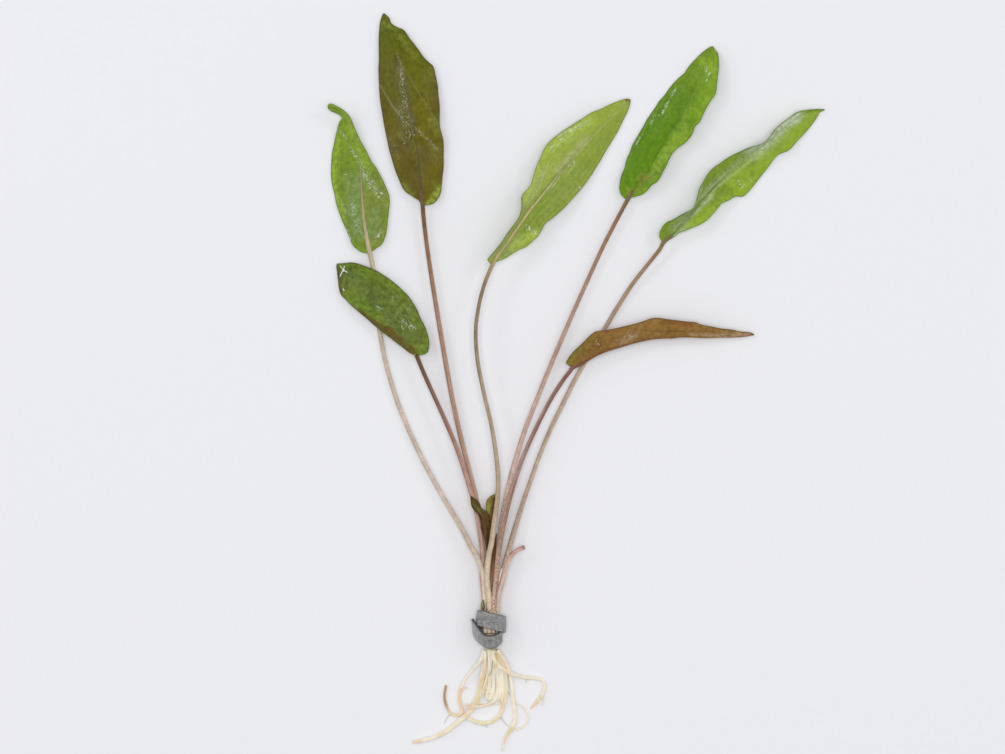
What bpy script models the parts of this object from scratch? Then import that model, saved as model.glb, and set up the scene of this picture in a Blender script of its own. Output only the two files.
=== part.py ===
"""A bare-root cryptocoryne: seven leaves on long stalks, two young leaves, a cut stalk,
the crown with its roots, and the soft metal weight strip wound round the stalk bases.
The bunch lies on a flat surface at Z = 0, leaves towards +Y, roots towards -Y, in metres."""
import math

import bmesh
import bpy
from mathutils import Vector

# Driving dimensions
MM = 0.001
PLANT_LENGTH = 250.6 * MM
BLADE_THICKNESS = 0.6 * MM
YOUNG_BLADE_THICKNESS = 0.5 * MM
SCALE_THICKNESS = 0.3 * MM
STALK_RADIUS_AT_CROWN = 0.65 * MM
STALK_RADIUS_IN_BUNDLE = 0.8 * MM
STALK_RADIUS_FREE = 0.98 * MM
STALK_RADIUS_AT_BLADE = 0.86 * MM
YOUNG_SHOOT_RADIUS = 0.6 * MM
CUT_STALK_RADIUS = 0.76 * MM
CROWN_RADIUS = 2.5 * MM
STRIP_THICKNESS = 0.8 * MM
BUNDLE_RING_RADIUS = 2.5 * MM
BUNDLE_RING_RADIUS_AT_CROWN = 2.1 * MM
BUNDLE_HEIGHT = 4.4 * MM

# The plant is laid out on a flat picture of it, X to the right and Y down, in picture points.
# These are the picture's span from the highest leaf tip to the lowest root tip, and its middle.
PICTURE_TOP = 12.75
PICTURE_BOTTOM = 750.75
PICTURE_MIDDLE_X = 575.2
PICTURE_MIDDLE_Y = 0.5 * (PICTURE_TOP + PICTURE_BOTTOM)
METRES_PER_POINT = PLANT_LENGTH / (PICTURE_BOTTOM - PICTURE_TOP)
BUNDLE_X = 490.2

# How finely the leaf blades are divided, along and across
BLADE_ROWS = 20
BLADE_COLUMNS = 6
STALK_POINTS = 17

# Each blade row is its left edge, midrib and right edge seen from the stalk,
# each as picture X, picture Y and height above the surface in millimetres.
LEFT_LEAF = [
    ((367, 252, 2.2), (369, 251.8, 2.4), (371, 251.5, 2.2)),
    ((357, 251, 1.6), (368, 247, 2.8), (377, 248.5, 1.8)),
    ((349.5, 242.5, 1.2), (367, 240, 3.2), (383.5, 240.5, 1.5)),
    ((343, 228, 0.8), (365, 229, 3.5), (386, 228, 1.2)),
    ((336.5, 208, 0.5), (362.5, 211, 3.6), (388.6, 205, 1.0)),
    ((331.5, 183, 0.4), (361, 190, 3.6), (387, 191, 1.0)),
    ((331, 162, 0.4), (359.5, 170, 3.6), (377, 171.5, 1.4)),
    ((333.5, 142, 0.7), (355.5, 149, 3.6), (364.5, 149.5, 2.0)),
    ((338, 126, 1.6), (349.5, 131, 3.8), (355, 131.5, 2.8)),
    ((341.5, 118.5, 3.4), (346.5, 119, 4.2), (350, 120, 3.8)),
    ((340, 115.5, 4.6), (342.5, 113.5, 4.8), (344.5, 111.5, 4.6)),
    ((333.5, 112, 5.4), (335.5, 109, 5.6), (337, 106, 5.2)),
    ((328, 108.5, 6.0), (327.5, 106.5, 6.2), (329, 104, 5.8)),
]
SMALL_LEAF = [
    ((413.5, 353.5, 4.2), (415.8, 354.5, 4.4), (418.5, 355, 4.2)),
    ((408, 351, 4.0), (413, 350.5, 4.8), (426, 354, 3.6)),
    ((398, 344.5, 3.6), (406, 342.5, 5.2), (430, 344, 3.0)),
    ((386, 335.5, 3.2), (397, 330.5, 5.4), (426.5, 328, 2.6)),
    ((373, 324.5, 3.0), (386, 317.5, 5.4), (417, 308.5, 2.4)),
    ((361, 314, 2.8), (374, 304.5, 5.2), (404, 291, 2.4)),
    ((350.5, 304, 2.2), (362.5, 292, 4.8), (388, 278, 2.9)),
    ((341.5, 294.5, 1.4), (351.5, 279.5, 4.2), (369, 267.5, 2.9)),
    ((338.5, 281.5, 0.9), (344, 270.5, 3.0), (352, 262.7, 2.0)),
    ((336.6, 266.5, 0.6), (337, 264.5, 1.0), (340, 262.8, 1.0)),
]
OLIVE_LEAF = [
    ((420, 201.5, 3.0), (421.8, 203, 3.2), (424, 204.3, 3.0)),
    ((409, 195.5, 2.4), (421.8, 195, 3.4), (434, 201.5, 2.4)),
    ((400.5, 187, 1.8), (421.2, 185, 3.4), (440.5, 189, 1.8)),
    ((393.5, 168, 1.4), (420, 167, 3.4), (442.3, 168, 1.6)),
    ((386.5, 146, 1.2), (417.5, 147, 3.6), (443, 149, 2.0)),
    ((382.5, 124, 1.2), (413.5, 126, 4.0), (439.8, 130, 2.6)),
    ((380, 101, 1.4), (408.5, 103, 4.2), (438.3, 107, 2.2)),
    ((378.8, 78, 1.4), (403.5, 81, 4.0), (435.5, 77.5, 1.6)),
    ((378.4, 56, 1.2), (397.5, 60, 3.4), (424, 57, 1.4)),
    ((379, 35, 1.0), (391, 40, 2.6), (409.5, 38.5, 1.4)),
    ((380.3, 22, 0.8), (386.8, 27, 1.8), (395.5, 26.5, 1.2)),
    ((381.8, 14, 0.5), (383, 13, 0.6), (385, 14.8, 0.6)),
]
MIDDLE_LEAF = [
    ((489.5, 262, 8.2), (491.5, 262.5, 8.0), (494.5, 262, 8.0)),
    ((487.2, 258.5, 9.6), (495, 256.5, 8.0), (504, 258.8, 7.6)),
    ((494, 248.5, 11.4), (501, 247.5, 7.8), (519, 251.5, 6.6)),
    ((503, 235.5, 12.4), (509.5, 234, 7.4), (534, 240, 5.6)),
    ((512, 224.5, 12.4), (517.5, 221.5, 6.8), (543.5, 225.5, 4.8)),
    ((519.5, 213, 11.2), (526, 210, 6.2), (552, 217.5, 4.4)),
    ((522, 196.5, 9.0), (536.5, 197.5, 5.6), (564, 206.5, 3.6)),
    ((530.5, 184, 7.4), (547.5, 184.5, 5.0), (575, 194.5, 2.6)),
    ((535, 167, 5.6), (558, 172.5, 4.4), (587, 179, 1.8)),
    ((543, 149.5, 4.4), (570, 159, 4.0), (598.5, 161.5, 1.2)),
    ((558, 135, 3.6), (584, 144.5, 3.6), (609, 145, 0.8)),
    ((580, 119.5, 3.0), (599, 129, 3.0), (617.5, 131, 0.6)),
    ((602, 107.5, 2.2), (614, 114, 2.2), (624.5, 117, 0.5)),
    ((619, 99.8, 1.4), (624.5, 103.5, 1.4), (628.8, 106, 0.5)),
    ((627, 98, 0.9), (629, 98.6, 0.8), (629.6, 100.5, 0.6)),
]
TALL_LEAF = [
    ((625.5, 198.2, 2.4), (627.5, 197.8, 2.4), (630, 197.3, 2.4)),
    ((620.5, 193.5, 2.6), (631, 192, 2.6), (640, 194.5, 3.2)),
    ((618.8, 184.5, 2.4), (636.5, 184.5, 2.8), (650.5, 186, 4.0)),
    ((622, 167.5, 1.8), (645.5, 170, 3.0), (661.5, 171.5, 5.0)),
    ((629, 148.5, 1.2), (655.5, 153.5, 3.2), (674, 152, 4.4)),
    ((637.5, 131.5, 0.8), (665.5, 137, 3.4), (689.5, 135.5, 5.2)),
    ((647.5, 115.5, 0.5), (675, 121, 3.4), (699.5, 118.5, 4.4)),
    ((659, 99.5, 0.4), (684.5, 104, 3.4), (708.5, 103, 5.2)),
    ((670.5, 85, 0.5), (693.5, 86.5, 3.2), (715.5, 88, 4.6)),
    ((684.5, 70.5, 0.8), (701, 70.5, 2.8), (718, 68, 3.6)),
    ((697, 55.8, 0.9), (707.5, 56.5, 2.0), (716.8, 55, 2.2)),
    ((710, 46.8, 0.7), (712.2, 46.2, 0.8), (713.8, 47.8, 0.8)),
]
WAVY_LEAF = [
    ((661.5, 241, 4.0), (664, 240.5, 4.0), (667, 240.5, 4.0)),
    ((658, 234.5, 4.8), (670, 236.3, 4.0), (676, 234.5, 4.2)),
    ((661.5, 224.5, 6.0), (677.5, 230, 4.0), (687, 229.5, 5.0)),
    ((676, 215.5, 7.8), (686, 220, 3.8), (700, 225, 5.2)),
    ((690.5, 209.5, 9.6), (695.5, 208, 3.8), (712, 213, 3.8)),
    ((694.5, 196.5, 8.4), (704.5, 197.5, 3.8), (723, 201.5, 3.0)),
    ((701, 179, 6.2), (714, 186.5, 3.8), (738, 196.5, 1.6)),
    ((713, 166.5, 5.4), (724.5, 176, 3.8), (749, 189, 0.8)),
    ((729, 156, 6.0), (736.5, 165.5, 3.8), (759.5, 175, 0.6)),
    ((745.5, 148, 7.6), (749, 155, 4.0), (769.5, 161, 1.4)),
    ((759, 143, 9.0), (762.5, 145, 4.2), (781.5, 152, 2.2)),
    ((768, 133.5, 8.4), (774, 136, 4.2), (793.5, 144, 1.6)),
    ((780, 121, 7.0), (787, 124.5, 4.0), (804, 132.5, 0.8)),
    ((793, 111.5, 5.4), (800, 115.5, 3.4), (813.5, 120.5, 0.6)),
    ((811, 109, 3.0), (813, 110.4, 2.2), (819.5, 112, 0.8)),
    ((821.5, 108.6, 1.2), (822.8, 109.4, 0.9), (822.6, 110.3, 0.6)),
]
FOLDED_LEAF = [
    ((566, 364.5, 5.8), (571, 366.5, 5.2), (568, 364.8, 4.6)),
    ((567.5, 355, 6.6), (579, 361.5, 5.0), (571, 356.5, 3.8)),
    ((578, 342.8, 7.6), (592, 355, 5.0), (582, 345.5, 3.3)),
    ((592, 331, 8.4), (607, 349.3, 5.0), (596, 334, 3.2)),
    ((613, 328.2, 8.6), (624, 344, 5.0), (615, 331, 3.2)),
    ((633, 322.8, 8.4), (641, 340, 4.8), (635, 326, 2.6)),
    ((654, 316, 8.0), (659, 338.3, 4.4), (656, 320, 1.8)),
    ((676, 318.7, 7.2), (679, 337, 3.8), (678, 322, 1.2)),
    ((697, 322.6, 6.2), (699, 336.5, 3.2), (699, 328, 0.7)),
    ((717, 328, 4.8), (719, 336, 2.6), (718, 332.5, 0.5)),
    ((736, 331.6, 3.2), (738, 335.8, 1.9), (737, 334, 0.5)),
    ((751, 332.4, 1.5), (752.5, 333.6, 1.1), (751.5, 334.4, 0.7)),
]
OUTER_YOUNG_LEAF = [
    ((484.6, 548, 6.2), (486, 548.2, 6.3), (487.4, 548, 6.2)),
    ((483.2, 538, 6.3), (486, 538, 6.4), (488.3, 538, 6.3)),
    ((481.2, 526, 6.6), (485, 526, 6.6), (489.6, 526, 6.3)),
    ((477.5, 514.5, 7.2), (482.5, 517.5, 6.9), (488.8, 514.5, 6.5)),
    ((473, 509, 7.6), (478.2, 509, 7.4), (483.5, 510, 6.9)),
    ((470.6, 503, 7.8), (474.4, 502.5, 7.7), (478.8, 504, 7.3)),
    ((469.8, 497.5, 8.0), (470.6, 496.6, 8.0), (472.2, 497.8, 7.8)),
]
INNER_YOUNG_LEAF = [
    ((487.8, 547, 4.8), (489.2, 547, 4.9), (490.4, 547, 4.8)),
    ((487.2, 536, 5.0), (489.6, 536, 5.1), (491.6, 536, 5.1)),
    ((486.3, 523, 5.2), (489.9, 523, 5.4), (492.8, 523, 5.4)),
    ((485.5, 511, 5.4), (490, 511, 5.7), (493.8, 511, 5.8)),
    ((486.2, 502, 5.8), (490.6, 502, 6.0), (494.4, 502, 6.0)),
    ((490, 495.8, 6.1), (492.6, 496.3, 6.2), (494.8, 496.2, 6.2)),
    ((493.6, 493.4, 6.3), (494.4, 493, 6.3), (495.2, 493.8, 6.3)),
]
DRIED_SCALE = [
    ((478.8, 606, 5.2), (479.4, 606, 6.0), (481, 606, 6.9)),
    ((478.9, 602, 5.4), (479.6, 602, 6.1), (481.1, 602, 6.8)),
    ((479.8, 598.5, 5.9), (480.1, 598.4, 6.2), (480.6, 598.6, 6.5)),
]

# Each free stalk from where it leaves the bundle to its blade, as picture X, Y and height.
# The angle is its place in the ring of stalk bases, counted from the right, upwards.
LEFT_STALK = [
    (482, 573, 5.4), (477, 559, 4.8), (469, 545, 4.1), (458, 524, 3.2), (440, 492, 2.2),
    (420, 453, 1.5), (400, 408, 1.1), (387, 368, 1.05), (379, 330, 1.05), (374.6, 290, 1.05),
    (372.6, 268, 1.2), (370.4, 257, 1.9), (369.6, 253.7, 2.2),
]
SMALL_STALK = [
    (481.4, 575, 3.6), (482.4, 557, 4.3), (480.6, 540, 5.0), (476.6, 515, 5.4), (471.4, 493, 5.4),
    (465.5, 470, 5.3), (456.5, 444, 5.2), (445, 418, 5.0), (433, 393, 4.8), (423.5, 372, 4.6),
    (417.2, 357.6, 4.4),
]
OLIVE_STALK = [
    (486.2, 575, 2.3), (483.6, 557, 2.4), (481.4, 540, 2.9), (478.6, 518, 3.2), (475.5, 497, 3.2),
    (471, 478, 3.2), (463, 448, 3.1), (453.5, 408, 3.0), (446, 370, 2.9), (438.5, 325, 2.8),
    (430, 280, 2.8), (424.5, 240, 2.8), (422.6, 215, 3.0), (422, 205.4, 3.2),
]
MIDDLE_STALK = [
    (487.6, 575, 7.1), (488.4, 560, 7.4), (491, 540, 7.9), (494.2, 520, 8.2), (496.8, 500, 8.4),
    (497.6, 480, 8.6), (496, 457, 8.8), (491, 425, 9.2), (484.5, 395, 9.4), (478.5, 360, 9.4),
    (476, 330, 9.2), (477.5, 305, 9.0), (482.5, 283, 8.6), (488.2, 268, 8.2), (490.2, 264.8, 8.05),
]
TALL_STALK = [
    (494.5, 575, 2.3), (497, 555, 2.8), (500, 530, 3.1), (503.5, 505, 3.1), (508, 480, 3.0),
    (515, 455, 2.9), (523, 428, 2.7), (536, 398, 2.4), (551, 360, 2.2), (569, 320, 2.2),
    (585, 284, 2.2), (602, 246, 2.2), (617, 216, 2.3), (626.1, 200.2, 2.4),
]
WAVY_STALK = [
    (500.6, 578, 3.2), (504.4, 560, 3.0), (509, 542, 2.9), (515, 522, 2.7), (521, 502, 2.4),
    (529, 480, 2.1), (539, 454, 1.8), (550, 428, 1.5), (562, 402, 1.2), (574, 378, 1.1),
    (586, 357, 1.05), (600, 333, 1.05), (616, 306, 1.4), (631, 283, 2.2), (647, 263, 3.2),
    (658, 249, 3.8), (662.6, 242.8, 4.0),
]
FOLDED_STALK = [
    (496, 575, 6.8), (498, 552, 6.9), (501.5, 530, 6.9), (506, 508, 6.8), (511, 487, 6.6),
    (519, 460, 6.4), (529, 436, 6.2), (540, 415, 6.0), (551, 396, 5.8), (562, 379, 5.6),
    (567.6, 371, 5.4), (569.8, 368.9, 5.3),
]
YOUNG_SHOOT = [(490.2, 580, 4.4), (489.6, 565, 4.9), (488.2, 551, 5.6)]
CUT_STALK = [(501.8, 580, 5.2), (505, 567, 5.3), (509, 556, 5.1), (515, 550, 4.8), (523.5, 546.5, 4.5)]

# Each root from the crown to its tip, as picture X, Y and height above the surface
LONG_ROOT = [
    (486.1, 650, 3.15), (484.6, 658, 2.9), (483.2, 669, 2.3), (480.6, 682, 1.5), (477.8, 695, 1.05),
    (473, 706, 0.98), (465.5, 714.5, 0.96), (456.5, 722.5, 0.94), (446, 730.5, 0.92),
    (434, 736.5, 0.88), (422, 739.8, 0.82), (413, 741.5, 0.74),
]
HOOKED_ROOT = [
    (484, 650, 4.95), (480, 659.5, 4.1), (471.5, 670, 2.3), (464, 680, 1.1), (459.6, 690, 0.64),
    (458.8, 698, 0.64), (460.4, 706, 0.8), (461.4, 711, 1.0), (457.3, 714.4, 0.8), (450.5, 712.4, 0.6),
    (446, 705.5, 0.58), (444, 696, 0.54), (445.6, 684.5, 0.5),
]
CROSSING_ROOT = [
    (490.9, 650, 2.6), (492, 662, 1.7), (494.8, 678, 0.85), (497, 690, 0.6), (495, 698.5, 0.66),
    (488, 703.6, 1.2), (480.5, 705.6, 2.3), (473.5, 705.8, 2.6), (468, 706.2, 2.3),
]
LOOP_ROOT = [
    (495.2, 650, 3.0), (500.4, 661, 2.0), (504.2, 674, 0.95), (505.8, 688, 0.72), (503.6, 702, 0.74),
    (499.6, 713.5, 0.78), (493, 720, 0.8), (484.5, 722.6, 0.8), (476, 721.4, 0.78), (470.4, 719, 0.74),
]
RIGHT_ROOT = [
    (491.9, 650, 5.15), (493.6, 657.5, 5.35), (498.5, 665, 4.8), (506, 670.3, 3.8), (514.5, 674.4, 2.5),
    (525, 676.9, 1.15), (535, 677.6, 0.7), (541.6, 679.6, 0.66), (543.8, 685.5, 0.66),
    (542.2, 693, 0.68), (537.5, 700, 0.72), (530.6, 707.6, 0.56),
]
LOWER_ROOT = [
    (496.8, 650, 4.8), (503, 659, 3.3), (509, 672, 1.5), (511.4, 687, 0.76), (512.6, 701, 0.72),
    (514.4, 711, 0.73), (513.8, 721, 0.76), (510, 729.5, 0.82), (505.6, 736.5, 0.86),
    (503, 743.5, 0.62), (501.5, 750.5, 0.4),
]
SHORT_ROOT = [
    (488.2, 650, 4.95), (489, 660, 4.2), (489.2, 673, 2.4), (488.2, 686, 1.1), (485.8, 698, 0.62),
]

# The strip from its loose end to its tucked end, upper and lower edge at each bend
WEIGHT_STRIP = [
    ((471.5, 617.5, 6.8), (472.5, 622.5, 1.8)),
    ((474.3, 624, 7.1), (474, 634.5, 3.0)),
    ((479.3, 630, 7.8), (478.8, 641.5, 4.9)),
    ((484.5, 633.2, 8.2), (484.3, 646, 5.9)),
    ((490, 634.2, 8.3), (490, 647.8, 6.4)),
    ((495.5, 633, 7.9), (495.7, 646, 5.6)),
    ((499.2, 630.3, 6.7), (499.8, 642.5, 3.9)),
    ((500.8, 626.5, 5.0), (500.8, 640, 2.2)),
    ((500.2, 623, 3.0), (499.6, 638, 1.0)),
    ((497.6, 620.5, 1.2), (496.8, 636.6, 0.5)),
    ((493.8, 619, 0.4), (493.6, 635.5, 0.4)),
    ((491.4, 618.8, 0.4), (491.4, 635.3, 0.4)),
    ((488.6, 618.4, 0.4), (488.6, 634.9, 0.4)),
    ((486.2, 618, 0.4), (486, 634.4, 0.4)),
    ((481.6, 616, 1.0), (481.4, 632.4, 1.0)),
    ((478.6, 613, 2.6), (478.4, 629.4, 2.6)),
    ((477.8, 610.6, 4.6), (477.4, 626.8, 4.6)),
    ((478.8, 609, 6.5), (478.4, 625, 6.5)),
    ((482.4, 609, 7.9), (482, 625.4, 7.9)),
    ((487.6, 610.6, 8.5), (487.2, 627, 8.5)),
    ((493.4, 612.2, 8.5), (493, 628.6, 8.5)),
    ((498.8, 613.6, 7.9), (498.4, 630, 7.9)),
    ((502.8, 614.4, 6.6), (502.2, 630.8, 6.6)),
    ((504.3, 615, 4.8), (504.1, 631.4, 4.8)),
    ((503.9, 615.5, 3.0), (503.7, 631.9, 3.0)),
    ((502.2, 616, 1.6), (502, 632.4, 1.6)),
]


def place(point):
    """A picture point with its height in millimetres, as a point of the part in metres."""
    x, y, height = point
    return Vector((
        (x - PICTURE_MIDDLE_X) * METRES_PER_POINT,
        (PICTURE_MIDDLE_Y - y) * METRES_PER_POINT,
        height * MM,
    ))


def knots_along(points):
    """The distance along a row of points at which each of them lies."""
    knots = [0.0]
    for before, after in zip(points, points[1:]):
        knots.append(knots[-1] + (after - before).length)
    return knots


def smooth_value(values, knots, at):
    """A smooth curve through values, one at each knot, read at a distance along it."""
    last = len(knots) - 1
    segment = 0
    while segment < last - 1 and knots[segment + 1] < at:
        segment += 1

    def slope(index):
        before = max(index - 1, 0)
        after = min(index + 1, last)
        return (values[after] - values[before]) / (knots[after] - knots[before])

    span = knots[segment + 1] - knots[segment]
    t = (at - knots[segment]) / span
    start_weight = 2 * t ** 3 - 3 * t ** 2 + 1
    return (
        values[segment] * start_weight
        + values[segment + 1] * (1 - start_weight)
        + slope(segment) * (span * (t ** 3 - 2 * t ** 2 + t))
        + slope(segment + 1) * (span * (t ** 3 - t ** 2))
    )


def smooth_route(points, count):
    """Evenly spaced points on one smooth curve through the given points."""
    knots = knots_along(points)
    return [smooth_value(points, knots, knots[-1] * k / (count - 1)) for k in range(count)]


def new_collection(name):
    collection = bpy.data.collections.new(name)
    bpy.context.scene.collection.children.link(collection)
    return collection


def new_material(name, color, roughness, metallic=0.0):
    material = bpy.data.materials.new(name)
    material.use_nodes = True
    shader = material.node_tree.nodes["Principled BSDF"]
    shader.inputs["Base Color"].default_value = (*color, 1.0)
    shader.inputs["Roughness"].default_value = roughness
    shader.inputs["Metallic"].default_value = metallic
    return material


def add_sheet(collection, name, rows, row_count, columns, thickness, bulge, material):
    """A thin curved sheet through rows of three points: a grid bent to them, then thickened."""
    lines = [[place(row[side]) for row in rows] for side in range(3)]
    knots = knots_along(lines[1])
    mesh = bpy.data.meshes.new(name)
    grid = bmesh.new()
    bmesh.ops.create_grid(grid, x_segments=columns, y_segments=row_count, size=1.0)
    for vertex in grid.verts:
        along = knots[-1] * (vertex.co.y + 1.0) / 2.0
        across = vertex.co.x
        left, midrib, right = (smooth_value(line, knots, along) for line in lines)
        edge = left if across < 0 else right
        half = edge - midrib
        lift = bulge * half.length * math.sin(math.pi * abs(across))
        vertex.co = midrib + half * abs(across) + Vector((0, 0, lift))
    grid.to_mesh(mesh)
    grid.free()
    mesh.shade_smooth()
    sheet = bpy.data.objects.new(name, mesh)
    collection.objects.link(sheet)
    mesh.materials.append(material)
    solidify = sheet.modifiers.new("Thickness", "SOLIDIFY")
    solidify.thickness = thickness
    solidify.offset = 0.0
    return sheet


def add_tube(collection, name, route, radii, material, sides=8):
    """A round tube along a route, its radius going smoothly through the given radii."""
    curve = bpy.data.curves.new(name, "CURVE")
    curve.dimensions = "3D"
    curve.bevel_depth = 1.0
    curve.bevel_resolution = (sides - 4) // 2
    curve.use_fill_caps = True
    spline = curve.splines.new("POLY")
    spline.points.add(len(route) - 1)
    marks = [k / (len(radii) - 1) for k in range(len(radii))]
    for k, (point, centre) in enumerate(zip(spline.points, route)):
        point.co = (*centre, 1.0)
        point.radius = smooth_value(radii, marks, k / (len(route) - 1))
    tube = bpy.data.objects.new(name, curve)
    collection.objects.link(tube)
    curve.materials.append(material)
    return tube


def base_in_bundle(angle_degrees):
    """A stalk's hidden base: its place in the ring of bases, from the crown upwards."""
    angle = math.radians(angle_degrees)
    stretch = (
        (632.0, BUNDLE_RING_RADIUS_AT_CROWN),
        (619.0, 0.5 * (BUNDLE_RING_RADIUS_AT_CROWN + BUNDLE_RING_RADIUS)),
        (597.0, BUNDLE_RING_RADIUS),
    )
    points = []
    for picture_y, ring in stretch:
        centre = place((BUNDLE_X, picture_y, BUNDLE_HEIGHT / MM))
        points.append(centre + ring * Vector((math.cos(angle), 0, math.sin(angle))))
    return points


def add_leaf(collection, name, blade_rows, stalk, ring_angle, blade_material, stalk_material):
    """One full-grown leaf: a bulging blade and its long stalk."""
    add_sheet(
        collection, name + "_leaf_blade", blade_rows, BLADE_ROWS, BLADE_COLUMNS,
        BLADE_THICKNESS, 0.1, blade_material,
    )
    route = smooth_route(base_in_bundle(ring_angle) + [place(p) for p in stalk], STALK_POINTS)
    radii = [
        STALK_RADIUS_AT_CROWN, STALK_RADIUS_IN_BUNDLE, STALK_RADIUS_IN_BUNDLE,
        STALK_RADIUS_FREE, STALK_RADIUS_FREE, STALK_RADIUS_AT_BLADE,
    ]
    add_tube(collection, name + "_leaf_stalk", route, radii, stalk_material)


def add_leaves(collection):
    green = new_material("bright green leaf", (0.17, 0.31, 0.03), 0.4)
    light_green = new_material("light green leaf", (0.28, 0.40, 0.06), 0.4)
    olive = new_material("olive leaf", (0.12, 0.12, 0.03), 0.4)
    dark = new_material("dark green leaf", (0.07, 0.11, 0.03), 0.4)
    brown = new_material("brown leaf", (0.20, 0.13, 0.03), 0.4)
    tan = new_material("tan stalk", (0.55, 0.42, 0.25), 0.45)
    red = new_material("reddish stalk", (0.25, 0.10, 0.06), 0.45)
    leaves = [
        ("left", LEFT_LEAF, LEFT_STALK, 150, green, tan),
        ("small", SMALL_LEAF, SMALL_STALK, 195, dark, red),
        ("olive", OLIVE_LEAF, OLIVE_STALK, 240, olive, red),
        ("middle", MIDDLE_LEAF, MIDDLE_STALK, 105, light_green, tan),
        ("tall", TALL_LEAF, TALL_STALK, 285, green, tan),
        ("wavy", WAVY_LEAF, WAVY_STALK, 330, light_green, tan),
        ("folded", FOLDED_LEAF, FOLDED_STALK, 60, brown, red),
    ]
    for name, blade_rows, stalk, ring_angle, blade_material, stalk_material in leaves:
        add_leaf(collection, name, blade_rows, stalk, ring_angle, blade_material, stalk_material)
    for name, rows in (("outer", OUTER_YOUNG_LEAF), ("inner", INNER_YOUNG_LEAF)):
        add_sheet(
            collection, name + "_young_leaf", rows, 8, 4, YOUNG_BLADE_THICKNESS, 0.08, dark,
        )
    centre_base = [place((BUNDLE_X, y, BUNDLE_HEIGHT / MM)) for y in (632.0, 619.0, 597.0)]
    route = smooth_route(centre_base + [place(p) for p in YOUNG_SHOOT], 9)
    add_tube(collection, "young_shoot", route, [YOUNG_SHOOT_RADIUS] * 2, red)
    route = smooth_route(base_in_bundle(15) + [place(p) for p in CUT_STALK], 14)
    add_tube(collection, "cut_stalk", route, [STALK_RADIUS_AT_CROWN, CUT_STALK_RADIUS], tan)
    add_sheet(collection, "dried_scale", DRIED_SCALE, 4, 4, SCALE_THICKNESS, 0.1, brown)


def add_crown_and_roots(collection):
    crown_flesh = new_material("crown flesh", (0.55, 0.45, 0.28), 0.5)
    root_skin = new_material("pale root", (0.75, 0.66, 0.45), 0.4)
    crown_route = [place(p) for p in (
        (490.2, 633.3, 4.2), (490.2, 637, 4.0), (490.1, 641, 3.8), (490, 645, 3.5), (490, 648.8, 3.3),
    )]
    crown_radii = [CROWN_RADIUS * part for part in (0.86, 0.98, 1.0, 0.96, 0.88)]
    add_tube(collection, "crown", crown_route, crown_radii, crown_flesh, sides=14)
    roots = [
        ("long", LONG_ROOT, (0.78, 0.9, 0.95, 0.94, 0.9, 0.84, 0.7), 19),
        ("hooked", HOOKED_ROOT, (0.56, 0.52, 0.52, 0.58, 0.58, 0.52, 0.55, 0.54, 0.46), 24),
        ("crossing", CROSSING_ROOT, (0.54, 0.52, 0.52, 0.52, 0.48, 0.42), 16),
        ("loop", LOOP_ROOT, (0.66, 0.64, 0.64, 0.66, 0.74, 0.74, 0.66), 18),
        ("right", RIGHT_ROOT, (0.58, 0.66, 0.66, 0.64, 0.6, 0.62, 0.64, 0.7, 0.38), 20),
        ("lower", LOWER_ROOT, (0.64, 0.64, 0.64, 0.66, 0.7, 0.8, 0.34), 19),
        ("short", SHORT_ROOT, (0.54, 0.6, 0.6, 0.54, 0.42), 9),
    ]
    for name, points, radii, count in roots:
        route = smooth_route([place(p) for p in points], count)
        add_tube(collection, name + "_root", route, [radius * MM for radius in radii], root_skin)


def add_weight_strip(collection):
    """The strip is flat across, so each bend is one row of a grid two points wide."""
    lead = new_material("dull grey lead", (0.22, 0.22, 0.23), 0.55, metallic=0.6)
    mesh = bpy.data.meshes.new("weight_strip")
    grid = bmesh.new()
    bmesh.ops.create_grid(grid, x_segments=1, y_segments=len(WEIGHT_STRIP) - 1, size=1.0)
    for vertex in grid.verts:
        bend = round((vertex.co.y + 1.0) / 2.0 * (len(WEIGHT_STRIP) - 1))
        edge = 0 if vertex.co.x < 0 else 1
        vertex.co = place(WEIGHT_STRIP[bend][edge])
    grid.to_mesh(mesh)
    grid.free()
    strip = bpy.data.objects.new("weight_strip", mesh)
    collection.objects.link(strip)
    mesh.materials.append(lead)
    solidify = strip.modifiers.new("Thickness", "SOLIDIFY")
    solidify.thickness = STRIP_THICKNESS
    solidify.offset = 0.0
    solidify.use_even_offset = True
    return strip


for old_object in list(bpy.data.objects):
    bpy.data.objects.remove(old_object)
plant = new_collection("cryptocoryne")
add_leaves(plant)
add_crown_and_roots(plant)
add_weight_strip(plant)
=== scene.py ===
import math

import bpy
import numpy as np
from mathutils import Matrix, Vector, noise


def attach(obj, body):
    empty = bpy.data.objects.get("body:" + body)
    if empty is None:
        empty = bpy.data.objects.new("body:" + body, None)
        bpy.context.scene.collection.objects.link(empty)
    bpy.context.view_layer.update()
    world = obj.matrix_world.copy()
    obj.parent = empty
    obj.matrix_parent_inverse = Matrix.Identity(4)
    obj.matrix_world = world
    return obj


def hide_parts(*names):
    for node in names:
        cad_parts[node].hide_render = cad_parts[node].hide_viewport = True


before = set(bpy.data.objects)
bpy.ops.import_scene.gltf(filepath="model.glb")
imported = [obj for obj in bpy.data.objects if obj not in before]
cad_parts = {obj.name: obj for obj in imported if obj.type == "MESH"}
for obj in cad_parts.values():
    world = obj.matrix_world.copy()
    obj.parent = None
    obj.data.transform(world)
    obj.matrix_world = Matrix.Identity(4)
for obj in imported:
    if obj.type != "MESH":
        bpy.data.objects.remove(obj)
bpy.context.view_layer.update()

mm = 0.001
tiny = 1e-12      # keeps a division clear of zero

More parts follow.
